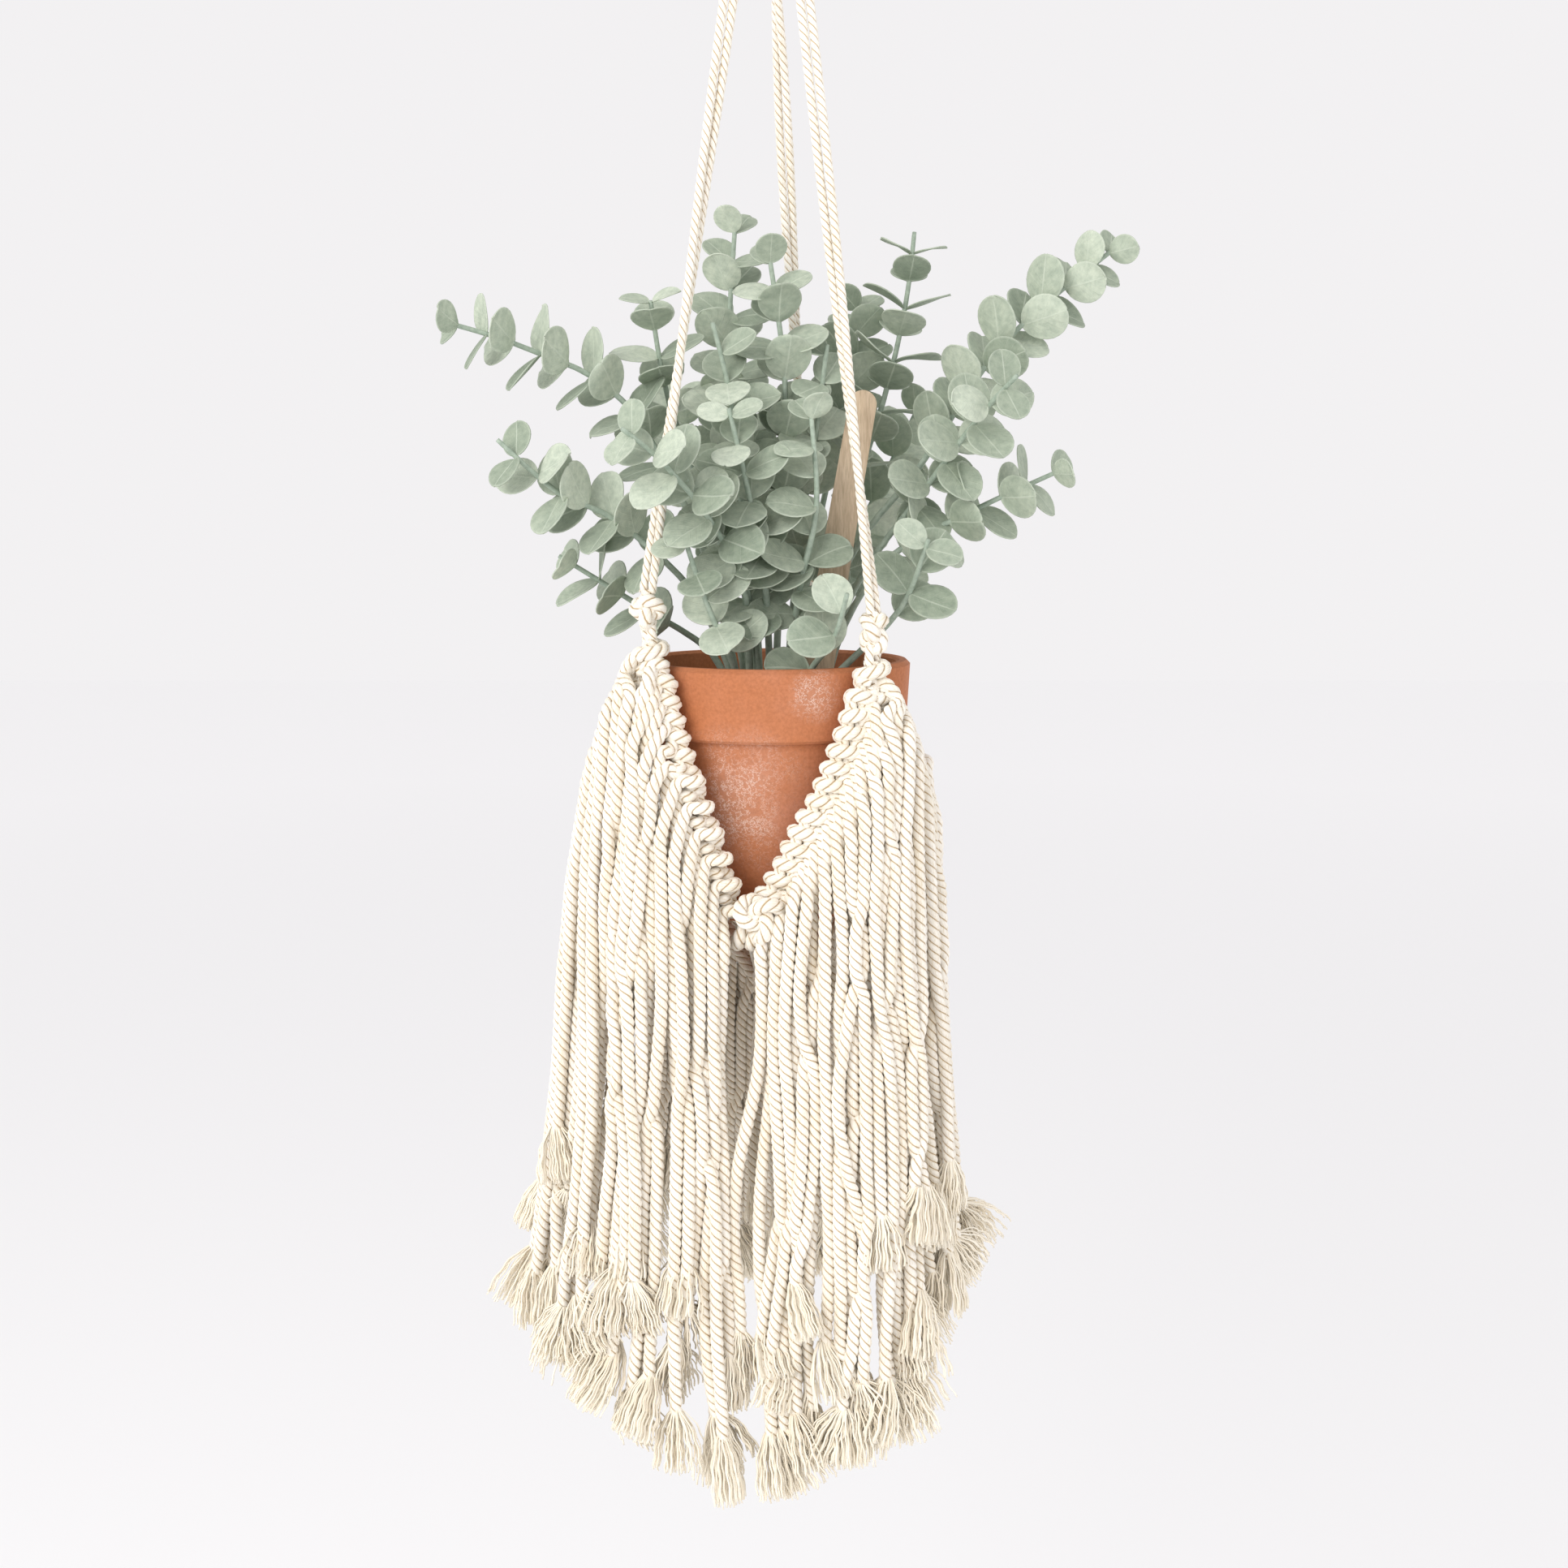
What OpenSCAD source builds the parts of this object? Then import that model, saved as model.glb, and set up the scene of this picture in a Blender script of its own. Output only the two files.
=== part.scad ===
// A hanging macrame planter: three pairs of twisted cotton rope carry a knotted cradle with a long
// fringe, a terracotta pot with artificial eucalyptus stands in it, and a wooden plant stick is
// pushed into the soil. The origin is where a hook bears inside the top of the hanging ring. Z is
// up, X is to the right and the front of the planter faces -Y.

/* [Hanging ring] */
// Outer diameter of the wooden ring
ring_d = 40; // [38:1:48]
// Thickness of the ring's round bar
ring_bar_d = 6; // [5:0.5:6.5]

/* [Ropes] */
// Distance from the hook down to the pot's rim
rim_drop = 386; // [380:1:395]
// Diameter of a suspension rope under load
rope_d = 3.2; // [3:0.1:3.3]
// Diameter of the slack rope in the cradle and fringe
cord_d = 4.6; // [4.2:0.1:4.7]
// Length of the gathering wrap under the ring
wrap_len = 28; // [20:1:30]
// Distance from the planter's axis to each pair of ropes at the shoulder knots
shoulder_r = 59; // [58.8:0.1:60]

/* [Cradle] */
// Thickness of a hitched band
band_d = 9.6; // [9:0.1:9.8]
// Height of the hitched crown under each shoulder knot
crown_h = 17; // [15:0.5:17.5]
// Distance from the planter's axis to the crowns
crown_r = 58; // [57.8:0.1:58.4]
// Depth of the gathering knot's middle below the pot's rim
base_knot_drop = 124; // [122:1:128]

/* [Fringe] */
// Depth of the longest frayed ends below the pot's rim
fringe_drop = 301; // [290:1:305]
// Thickness of the layered fringe
fringe_t = 8; // [6:0.5:9]
// How far the frayed ends stand out from a plumb line
fringe_flare = 20; // [10:1:24]

/* [Pot] */
// Outer diameter of the pot's rim
pot_d = 103; // [102:0.5:103]
// Height of the pot
pot_h = 93; // [90:0.5:93]
// Height of the rim band
pot_rim_h = 26; // [22:1:27]
// Outer diameter of the pot's foot
pot_foot_d = 68; // [64:1:69]
// Thickness of the clay
pot_wall = 4.5; // [3.5:0.5:5]
// Diameter of the drain hole
drain_d = 12; // [8:1:16]
// Depth of the soil's surface below the rim
soil_drop = 14; // [12:1:18]

/* [Plant] */
// Diameter of a full-grown leaf
leaf_d = 16.5; // [14:0.5:17]
// Thickness of a leaf
leaf_t = 0.8; // [0.6:0.1:1]
// Diameter of a sprig's stem
stem_d = 2.4; // [2:0.1:2.6]
// Distance between two pairs of leaves
leaf_pitch = 10; // [9.5:0.5:14]

/* [Plant stick] */
// Length of the wooden stick
stick_len = 150; // [140:1:155]
// Width of the stick at its rounded top
stick_top_w = 9.8; // [9:0.1:11]
// Width of the stick at its lower end
stick_low_w = 13; // [11:0.1:13]
// Thickness of the stick
stick_t = 2; // [1.5:0.1:2.2]

/* [Hidden] */
$fn = 48;
gap = 0.3;
rim_z = -rim_drop;

// Ring, rope folds and gathering wrap
ring_r = (ring_d - ring_bar_d) / 2;
ring_z = -(ring_r - ring_bar_d / 2);
bar_z = ring_z - ring_r;
fold_r = ring_bar_d / 2 + 0.45 + rope_d / 2;
fold_pitch = rope_d + 0.1;
fold_arc_steps = 8;
bundle_y = (rope_d + 0.1) / 2;
bundle_r = norm([fold_pitch, bundle_y]) + rope_d / 2;
wrap_top = bar_z - 19;
wrap_low = wrap_top - wrap_len;
rope_top = wrap_low - 2.5;

// The three suspension points: name, azimuth from the front, height of the knot's middle over the
// rim, and where the pair of ropes leaves the wrap (x, y)
SHOULDERS = [
    ["left", -46, 20, [-3.3, -3.2]],
    ["right", 37, 13, [2.8, -3.7]],
    ["back", 165, 8, [-2, 4.6]]
];
knot_d = 12;
knot_h = 14;
neck_d = 6.4;
crown_d = 11;
crown_top = [11, 4, -1];

// The three V bottoms between them: name, azimuth, depth below the rim
VEES = [["front", -11, 88], ["right", 101, 82], ["left", -120, 77]];
vee_d = 12.5;
vee_h = 14;

// Bands: name, shoulder, V, share of the turn taken early in the fall (1 is even), and how far the
// fringe reaches up beside the crown
BANDS = [
    ["left_front", 0, 0, 1, 6],
    ["right_front", 1, 0, 1.35, 0],
    ["right_side", 1, 1, 1, 9],
    ["back_right", 2, 1, 1, 7],
    ["back_left", 2, 2, 1, 7],
    ["left_side", 0, 2, 1, 12]
];
band_start_deg = 5.2;
band_end_deg = 7.5;
band_rings = 15;
band_sides = 8;
// Radius of a band's middle at each height over the rim
BAND_R = [[-96, 43.5], [-88, 44.5], [-70, 48], [-50, 52.4], [-26, 56.8], [0, 57.6], [12, 58]];

// Fringe, with the depth that its ends reach at each azimuth as a share of the longest
fringe_cols = 8;
fringe_rows = 9;
fringe_edge_deg = 0.35;
vee_gap_deg = 7.5;
FRINGE_REACH = [
    [-180, 0.96], [-150, 0.93], [-120, 0.87], [-90, 0.83], [-70, 0.84], [-50, 0.87], [-36, 0.92],
    [-24, 0.98], [-6, 1], [10, 0.975], [36, 0.935], [48, 0.885], [62, 0.81], [90, 0.79], [120, 0.85],
    [150, 0.93], [180, 0.96]
];

// Sling under the pot and the tails of its knot
base_knot_d = 15;
base_knot_h = 18;
tail_count = 6;
tail_ring_r = 4.9;
tail_len = 104;

// Pot
rim_low_r = pot_d / 2 - 1.3;
body_top_r = rim_low_r - 3.2;
foot_r = pot_foot_d / 2;
floor_t = 6;
soil_z = rim_z - soil_drop;
soil_gap = 0.15;

// Plant stick: its lean, and where its axis crosses the height of the rim (x, y)
stick_lean = [6.2, 9.4, 0];
stick_at_rim = [17.5, -5, 0];
stick_above = 98;

// Sprigs: name, arc-length share where the leaves start, turn of the first pair in degrees, and
// the stem's route from its foot in the soil (x, y, height over the rim)
foot_z = -20;
SPRIGS = [
    ["far_left", 0.5, 20,
        [[-10, 0, foot_z], [-25, 0, 40], [-52, -12, 92], [-85, -18, 110], [-114, -22, 119]]],
    ["upper_left", 0.74, 0, [[-8, 7, foot_z], [-20, 14, 45], [-37, 4, 92], [-43, -4, 128]]],
    ["mid_left", 0.5, 45,
        [[-10, -4, foot_z], [-26, -14, 22], [-54, -22, 50], [-74, -28, 60], [-94, -34, 78]]],
    ["low_left", 0.48, 80, [[-14, 0, foot_z], [-22, -2, 2], [-48, -10, 20], [-76, -16, 38]]],
    ["left_rosette", 0.5, 30,
        [[-8, -8, foot_z], [-9, -26, 24], [-20, -46, 50], [-36, -58, 70], [-48, -66, 80]]],
    ["top_back", 0.42, 60, [[-4, 8, foot_z], [-8, 14, 60], [-15, 12, 115], [-13, 8, 156]]],
    ["top_front", 0.42, 10, [[1, -4, foot_z], [4, -6, 50], [5, -10, 100], [-1, -14, 146]]],
    ["tall_right", 0.52, 0, [[8, 7, foot_z], [26, 14, 45], [42, 20, 95], [50, 22, 130], [53, 22, 156]]],
    ["back_tuft", 0.6, 35, [[4, 12, foot_z], [18, 22, 50], [29, 30, 100], [33, 34, 132]]],
    ["far_right", 0.55, 25, [[12, 2, foot_z], [28, 2, 35], [54, -4, 70], [84, -4, 114], [122, -2, 146]]],
    ["right_rosette", 0.5, 50, [[14, 5, foot_z], [31, 2, 26], [54, -12, 60], [72, -34, 86], [82, -52, 98]]],
    ["low_right", 0.45, 15, [[18, 3, foot_z], [27, 0, 12], [44, -8, 38], [72, -16, 54], [102, -22, 68]]],
    ["right_knot_tuft", 0.62, 70, [[9, -9, foot_z], [26, -18, -2], [46, -28, 20], [54, -44, 44]]],
    ["front_low_left", 0.45, 5, [[-6, -12, foot_z], [-14, -30, 2], [-22, -40, 22], [-29, -46, 44]]],
    ["front_mid_left", 0.45, 55, [[-3, -9, foot_z], [-8, -22, 24], [-18, -34, 50], [-28, -48, 64]]],
    ["front_centre", 0.36, 75, [[0, -12, foot_z], [-2, -26, 30], [-8, -36, 62], [-14, -42, 88]]],
    ["front_right", 0.36, 30, [[4, -9, foot_z], [10, -26, 25], [16, -34, 55], [14, -36, 86]]],
    ["front_low_right", 0.4, 40, [[8, -13, foot_z], [14, -30, -2], [22, -42, 10], [26, -54, 26]]],
    ["centre_left", 0.5, 0, [[-4, 2, foot_z], [-10, -10, 50], [-14, -20, 92], [-20, -26, 118]]],
    ["centre_right", 0.45, 65, [[5, 3, foot_z], [10, 2, 40], [16, -4, 80], [20, -12, 112]]],
    ["back_left", 0.35, 20, [[-6, 13, foot_z], [-18, 28, 36], [-30, 44, 74], [-38, 54, 104]]],
    ["back_right", 0.35, 55, [[10, 12, foot_z], [28, 26, 34], [44, 38, 68], [58, 46, 96]]]
];
route_steps = 4;
stem_sides = 6;
leaf_rise = 24;
leaf_front = 0.7;
front = [0, -0.98, 0.2];
tip_shrink = 0.6;
keep_clear = 0.7;
pot_travel = 20;
stick_travel = 50;

// ---- Small functions ----

function unit(v) = v / norm(v);
function polar(az, r, z) = [r * sin(az), -r * cos(az), rim_z + z];
function last(list) = list[len(list) - 1];
function sum(list, upto, i = 0) = i >= upto ? 0 : list[i] + sum(list, upto, i + 1);

// A smooth curve through the points, with the given number of steps in each stretch
function spline(p, steps) = [
    for (i = [0 : len(p) - 2], k = [0 : steps - 1])
        let (a = p[max(i - 1, 0)], b = p[i], c = p[i + 1], d = p[min(i + 2, len(p) - 1)], t = k / steps)
            0.5 * (2 * b + (c - a) * t + (2 * a - 5 * b + 4 * c - d) * t * t
                + (3 * b - a - 3 * c + d) * t * t * t),
    last(p)
];

function tangent(p, i) = unit(p[min(i + 1, len(p) - 1)] - p[max(i - 1, 0)]);

// Which stretch of a route holds the distance s from its start, and the point there
function stretch(p, s, i = 0) =
    i >= len(p) - 2 || s <= norm(p[i + 1] - p[i]) ? [i, s] : stretch(p, s - norm(p[i + 1] - p[i]), i + 1);
function along(p, s) = let (w = stretch(p, s)) p[w[0]] + unit(p[w[0] + 1] - p[w[0]]) * w[1];
function direction(p, s) = let (w = stretch(p, s)) unit(p[w[0] + 1] - p[w[0]]);
function route_len(p) = sum([for (i = [0 : len(p) - 2]) norm(p[i + 1] - p[i])], len(p) - 1);

// ---- Small modules ----

// A round tube swept along a route as one closed solid
module tube(p, d, sides) {
    n = len(p);
    ref = abs(tangent(p, floor(n / 2)) * [0, 1, 0]) > 0.9 ? [1, 0, 0] : [0, 1, 0];
    rings = [
        for (i = [0 : n - 1])
            let (t = tangent(p, i), u = unit(cross(ref, t)), v = cross(t, u))
                for (k = [0 : sides - 1])
                    p[i] + d / 2 * (u * cos(360 * k / sides) + v * sin(360 * k / sides))
    ];
    skin = [
        for (i = [0 : n - 2], k = [0 : sides - 1])
            let (a = i * sides + k, b = i * sides + (k + 1) % sides)
                [a, a + sides, b + sides, b]
    ];
    ends = [[for (k = [0 : sides - 1]) k], [for (k = [0 : sides - 1]) n * sides - 1 - k]];
    polyhedron(rings, concat(skin, ends), convexity = 6);
}

// A straight round rod from a to b
module rod(a, b, d) {
    v = b - a;
    translate(a) rotate([0, acos(v[2] / norm(v)), atan2(v[1], v[0])]) cylinder(h = norm(v), d = d);
}

// An egg-shaped knot
module knot(d, h) {
    rotate_extrude() polygon([for (a = [-90 : 15 : 90]) [d / 2 * cos(a), h / 2 * sin(a)]]);
}

// ---- Ring, folds and wrap ----

module hanging_ring() {
    color("burlywood")
        translate([0, 0, ring_z]) rotate([90, 0, 0])
            rotate_extrude() translate([ring_r, 0]) circle(d = ring_bar_d);
}

// One rope over the ring's bar and down both sides into the wrap
function fold_route(x) = concat(
    [[x, -bundle_y, wrap_low], [x, -bundle_y, wrap_top - 1], [x, -fold_r, bar_z - 8]],
    [for (k = [0 : fold_arc_steps])
        let (a = 180 * k / fold_arc_steps) [x, -fold_r * cos(a), bar_z + fold_r * sin(a)]],
    [[x, fold_r, bar_z - 8], [x, bundle_y, wrap_top - 1], [x, bundle_y, wrap_low]]
);

module rope_folds() {
    color("ivory") for (i = [-1 : 1]) tube(fold_route(i * fold_pitch), rope_d, 8);
}

module gathering_wrap() {
    color("ivory") translate([0, 0, wrap_low]) difference() {
        cylinder(h = wrap_len, r = bundle_r + 0.1 + rope_d);
        translate([0, 0, -1]) cylinder(h = wrap_len + 2, r = bundle_r + 0.1);
    }
}

// ---- Suspension ----

// Where a pair of ropes meets its shoulder knot, with the ropes side by side
function shoulder(s) = polar(s[1], shoulder_r, s[2]);
function side_by_side(s) = [cos(s[1]), sin(s[1]), 0] * (rope_d + 0.2) / 2;
function rope_foot(s) = shoulder(s) + [0, 0, knot_h / 2 - 1.2];
function rope_head(s) = [s[3][0], s[3][1], rope_top];

module rope_pair(s) {
    color("ivory") for (side = [-1, 1])
        rod(rope_foot(s) + side * side_by_side(s), rope_head(s) + side * side_by_side(s), rope_d);
}

module shoulder_knot(s) {
    color("ivory") translate(shoulder(s)) knot(knot_d, knot_h);
}

module neck(s, top) {
    color("ivory") rod(shoulder(s) - [0, 0, knot_h / 2 - 1], polar(s[1], crown_r, top - 1), neck_d);
}

module crown(s, top) {
    color("ivory") translate(polar(s[1], crown_r, top - crown_h)) cylinder(h = crown_h, d = crown_d);
}

// ---- Bands, V knots and sling ----

function crown_low(i) = crown_top[i] - crown_h;
function turn(a, b) = let (t = b - a) t > 180 ? t - 360 : t < -180 ? t + 360 : t;
function band_az0(b) = SHOULDERS[b[1]][1];
function band_turn(b) = turn(band_az0(b), VEES[b[2]][1]);
function band_az(b, u) =
    let (way = sign(band_turn(b)), t = band_turn(b) - way * (band_start_deg + band_end_deg))
        band_az0(b) + way * band_start_deg + t * pow(u, b[3]);
function band_z(b, u) = let (top = crown_low(b[1]) + 1) top + (-VEES[b[2]][2] - top) * u;
function band_point(b, u) = let (z = band_z(b, u)) polar(band_az(b, u), lookup(z, BAND_R), z);

module band(b) {
    line = [for (i = [0 : band_rings - 1]) band_point(b, i / (band_rings - 1))];
    color("ivory") tube(line, band_d, band_sides);
}

function vee_point(v) = polar(v[1], lookup(-v[2], BAND_R), -v[2] - 1);

module v_knot(v) {
    color("ivory") translate(vee_point(v)) knot(vee_d, vee_h);
}

// The V's rope ends run in under the pot's foot to the gathering knot
module sling(v) {
    under = -pot_h - cord_d / 2 - gap;
    z0 = -v[2] - 5;
    r0 = lookup(z0, BAND_R) - 1;
    route = [[r0, z0], [foot_r + 2.8, under + 1.2], [foot_r - 3, under - 2.6], [18, under - 13],
        [6.2, 1 - base_knot_drop]];
    side = [cos(v[1]), sin(v[1]), 0] * (cord_d + 0.2) / 2;
    color("ivory") for (k = [-1, 1]) tube([for (q = route) polar(v[1], q[0], q[1]) + k * side], cord_d, 8);
}

module base_knot() {
    color("ivory") translate(polar(0, 0, -base_knot_drop)) knot(base_knot_d, base_knot_h);
}

module base_tails() {
    color("ivory") for (k = [0 : tail_count - 1]) {
        h = tail_len - 7 * (k % 3);
        low = -base_knot_drop - base_knot_h / 2 + 5 - h;
        translate(polar(60 * k, tail_ring_r, low)) cylinder(h = h, d = cord_d);
    }
}

// ---- Fringe ----

// The fringe stands further out on the left, where its ropes are piled up
function wrapped(az) = az > 180 ? az - 360 : az;
function fringe_bow(az) = 9 * exp(-pow((wrapped(az) + 85) / 38, 2));
function fringe_rise(b, u) = b[4] * max(0, 1 - 3 * u);
function fringe_spread(az) = fringe_flare * (0.5 + (wrapped(az) < 0 ? 0.5 : 0.1) * abs(sin(az)));
function fringe_az(b, u, t) =
    let (way = sign(band_turn(b)), start = band_az0(b) + way * fringe_edge_deg,
        end_gap = max(fringe_edge_deg, vee_gap_deg * (1 - t)),
        end = band_az0(b) + band_turn(b) - way * end_gap)
            start + (end - start) * pow(u, b[3]);
function fringe_point(b, u, t, outer) =
    let (az = fringe_az(b, u, t), zb = band_z(b, u), top = zb - 2 + fringe_rise(b, u),
        low = -fringe_drop * lookup(wrapped(az), FRINGE_REACH),
        out = fringe_bow(az) * min(1, 5 * t) + fringe_spread(az) * pow(t, 1.7),
        r = lookup(zb, BAND_R) + band_d / 2 + 0.9 + 0.1 * fringe_rise(b, u) + out
            + (outer ? fringe_t + 2 * t : 0))
            polar(az, r, top + t * (low - top));

module fringe(b) {
    nu = fringe_cols;
    nt = fringe_rows;
    sheet = nu * nt;
    points = [for (outer = [false, true], i = [0 : nu - 1], j = [0 : nt - 1])
        fringe_point(b, i / (nu - 1), j / (nt - 1), outer)];
    flip = band_turn(b) > 0;
    function quad(a, b, c, d) = flip ? [[a, b, c], [a, c, d]] : [[c, b, a], [d, c, a]];
    faces = [
        for (i = [0 : nu - 2], j = [0 : nt - 2])
            let (a = i * nt + j, b = a + nt, c = b + 1, d = a + 1)
                each concat(quad(a, b, c, d), quad(d + sheet, c + sheet, b + sheet, a + sheet)),
        for (i = [0 : nu - 2])
            let (a = i * nt, b = a + nt, e = a + nt - 1, f = b + nt - 1)
                each concat(quad(a + sheet, b + sheet, b, a), quad(e, f, f + sheet, e + sheet)),
        for (j = [0 : nt - 2])
            let (a = j, b = j + 1, e = (nu - 1) * nt + j, f = e + 1)
                each concat(quad(b, b + sheet, a + sheet, a), quad(e, e + sheet, f + sheet, f))
    ];
    color("ivory") polyhedron(points, faces, convexity = 6);
}

// ---- Pot and soil ----

function inner_r(z) = lookup(z, [[-pot_h, foot_r - pot_wall], [-pot_rim_h, body_top_r - pot_wall],
    [0, pot_d / 2 - pot_wall - 0.4]]);

module terracotta_pot() {
    outline = [
        [drain_d / 2, -pot_h], [foot_r - 1.5, -pot_h], [foot_r, -pot_h + 1.5], [body_top_r, -pot_rim_h],
        [rim_low_r - 1, -pot_rim_h], [rim_low_r, -pot_rim_h + 1], [pot_d / 2, -1.5], [pot_d / 2 - 1.5, 0],
        [inner_r(0) + 1, 0], [inner_r(-1), -1], [inner_r(-pot_rim_h), -pot_rim_h],
        [inner_r(floor_t - pot_h), floor_t - pot_h], [drain_d / 2, floor_t - pot_h]
    ];
    color("peru") translate([0, 0, rim_z]) rotate_extrude($fn = 96) polygon(outline);
}

// The stick, or the slot in the soil that lets its wider low end out
module stick_shape(clear, top_w) {
    w0 = stick_low_w / 2 + clear;
    w1 = top_w / 2 + clear;
    top = stick_len - stick_top_w / 2;
    translate([stick_at_rim[0], stick_at_rim[1], rim_z]) rotate(stick_lean)
        translate([0, stick_t / 2 + clear, stick_above - stick_len - clear]) rotate([90, 0, 0])
            linear_extrude(stick_t + 2 * clear) union() {
                polygon([[-w0, 0], [w0, 0], [w1, top], [-w1, top]]);
                translate([0, top]) circle(r = w1);
            }
}

module potting_soil() {
    low = floor_t - pot_h + soil_gap;
    outline = [[0, low], [inner_r(low) - soil_gap, low], [inner_r(-pot_rim_h) - soil_gap, -pot_rim_h],
        [inner_r(-soil_drop) - soil_gap, -soil_drop], [0, -soil_drop]];
    color("saddlebrown") difference() {
        translate([0, 0, rim_z]) rotate_extrude() polygon(outline);
        stick_shape(gap, stick_low_w);
    }
}

module plant_stick() {
    color("wheat") stick_shape(0, stick_top_w);
}

// ---- Sprigs ----

// A leaf is [middle, normal, radius]; its reach is how far it extends from its middle along e
function reach(leaf, e) = leaf[2] * sqrt(max(0, 1 - pow(leaf[1] * e, 2))) + leaf_t / 2 * abs(leaf[1] * e);

// Two leaves are apart if one of three directions separates them
function split_by(e, a, b) = abs((b[0] - a[0]) * e) > reach(a, e) + reach(b, e) + 0.1;
function leaves_apart(a, b) =
    norm(b[0] - a[0]) > a[2] + b[2] + leaf_t || split_by(unit(b[0] - a[0]), a, b)
        || split_by(a[1], a, b) || split_by(b[1], a, b);

// A leaf is clear of a straight bar if the direction between their nearest points separates them
function off_bar(leaf, p, q, r) =
    let (d = q - p, t = max(0, min(1, (leaf[0] - p) * d / (d * d))), w = leaf[0] - (p + d * t))
        norm(w) > leaf[2] + r + 1
            || (norm(w) > 0.01 && norm(w) > reach(leaf, unit(w)) + r + keep_clear)
            || (abs((p - leaf[0]) * leaf[1]) > r + keep_clear
                && abs((q - leaf[0]) * leaf[1]) > r + keep_clear
                && sign((p - leaf[0]) * leaf[1]) == sign((q - leaf[0]) * leaf[1]));

// A leaf moves up with the pot, so it keeps clear of the ropes and knots over the whole travel
function raised(leaf, h) = [leaf[0] + [0, 0, h], leaf[1], leaf[2]];
function off_ropes(leaf) = min([
    for (s = SHOULDERS, h = [0 : pot_travel / 4 : pot_travel])
        let (l = raised(leaf, h), low = polar(s[1], crown_r, crown_top[0] - crown_h))
            off_bar(l, rope_foot(s), rope_head(s), rope_d + 0.1)
                && off_bar(l, low, rope_foot(s), knot_d / 2) ? 1 : 0
]) > 0;

function stick_axis() =
    let (a = stick_lean[0], b = stick_lean[1]) [cos(a) * sin(b), -sin(a), cos(a) * cos(b)];
function off_stick(leaf) =
    let (d = stick_axis(), x = [cos(stick_lean[1]), 0, -sin(stick_lean[1])], y = cross(d, x),
        c = leaf[0] - [stick_at_rim[0], stick_at_rim[1], rim_z])
            abs(c * x) > reach(leaf, x) + stick_low_w / 2 + keep_clear
                || abs(c * y) > reach(leaf, y) + stick_t / 2 + keep_clear
                || c * d > stick_above + stick_travel + leaf[2];

function off_rim(leaf) =
    leaf[0][2] - reach(leaf, [0, 0, 1]) > rim_z + 1
        || (norm([leaf[0][0], leaf[0][1]]) + leaf[2] < inner_r(-5) - 1
            && leaf[0][2] - reach(leaf, [0, 0, 1]) > soil_z + 0.5);

function stem_route(s) = spline([for (p = s[3]) [p[0], p[1], p[2] + rim_z]], route_steps);
function off_stem(leaf, p) = min([
    for (i = [0 : len(p) - 2]) off_bar(leaf, p[i], p[i + 1], stem_d / 2) ? 1 : 0
]) > 0;

// Pairs of leaves stand crosswise along a stem, turn somewhat to the front, and get smaller
// towards its tip
function faced(n) = unit(n + front * leaf_front * (n * front < 0 ? -1 : 1));
function sprig_leaves(s) =
    let (p = stem_route(s), total = route_len(p), start = s[1] * total,
        count = floor((total - start) / leaf_pitch))
        [for (i = [0 : count], side = [0, 1])
            let (at = min(start + i * leaf_pitch, total - 0.5), left = (total - at) / (total - start),
                t = direction(p, at), u = unit(cross([0, 1, 0], t)), v = cross(t, u),
                a = s[2] + 90 * i + 180 * side, out = u * cos(a) + v * sin(a),
                r = leaf_d / 2 * (tip_shrink + (1 - tip_shrink) * min(1, 3 * left)),
                way = out * cos(leaf_rise) + t * sin(leaf_rise),
                face = faced(t * cos(leaf_rise) - out * sin(leaf_rise)),
                blade = unit(way - face * (way * face)))
                    [along(p, at) + blade * (r + stem_d / 2 - 0.5), face, r]];

// Leaves that would meet a rope, the stick, the pot, another stem or an earlier leaf are left out
function fits(leaf, n, kept) =
    off_rim(leaf) && off_ropes(leaf) && off_stick(leaf)
        && min([for (k = [0 : len(SPRIGS) - 1]) k == n || off_stem(leaf, STEMS[k]) ? 1 : 0]) > 0
        && min([1, for (k = kept) leaves_apart(leaf, k) ? 1 : 0]) > 0;
function keep(list, n, kept, i = 0) =
    i >= len(list) ? kept : keep(list, n, fits(list[i], n, kept) ? concat(kept, [list[i]]) : kept, i + 1);
function foliage(n, kept = [], groups = []) =
    n >= len(SPRIGS) ? groups
        : let (now = keep(sprig_leaves(SPRIGS[n]), n, kept))
            foliage(n + 1, now, concat(groups, [[for (i = [len(kept) : 1 : len(now) - 1]) now[i]]]));

STEMS = [for (s = SPRIGS) stem_route(s)];
FOLIAGE = foliage(0);

module sprig(n, leaves) {
    color("darkseagreen") {
        tube(STEMS[n], stem_d, stem_sides);
        for (leaf = leaves) {
            v = leaf[1];
            translate(leaf[0]) rotate([0, acos(v[2]), atan2(v[1], v[0])])
                cylinder(h = leaf_t, r = leaf[2], center = true);
        }
    }
}

hanging_ring();
rope_folds();
gathering_wrap();
for (s = SHOULDERS) rope_pair(s);
for (s = SHOULDERS) shoulder_knot(s);
for (i = [0 : 2])
    neck(SHOULDERS[i], crown_top[i]);
for (i = [0 : 2])
    crown(SHOULDERS[i], crown_top[i]);
for (b = BANDS) band(b);
for (v = VEES) v_knot(v);
for (v = VEES) sling(v);
base_knot();
base_tails();
for (b = BANDS) fringe(b);
terracotta_pot();
potting_soil();
plant_stick();
for (n = [0 : len(SPRIGS) - 1])
    sprig(n, FOLIAGE[n]);
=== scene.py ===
"""Looks of a hanging macrame planter: laid cotton ropes, hitched bands, a fringe with frayed ends,
a terracotta pot, artificial eucalyptus and a wooden plant stick. Sizes are in millimetres until a
mesh is made."""

import math

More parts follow.
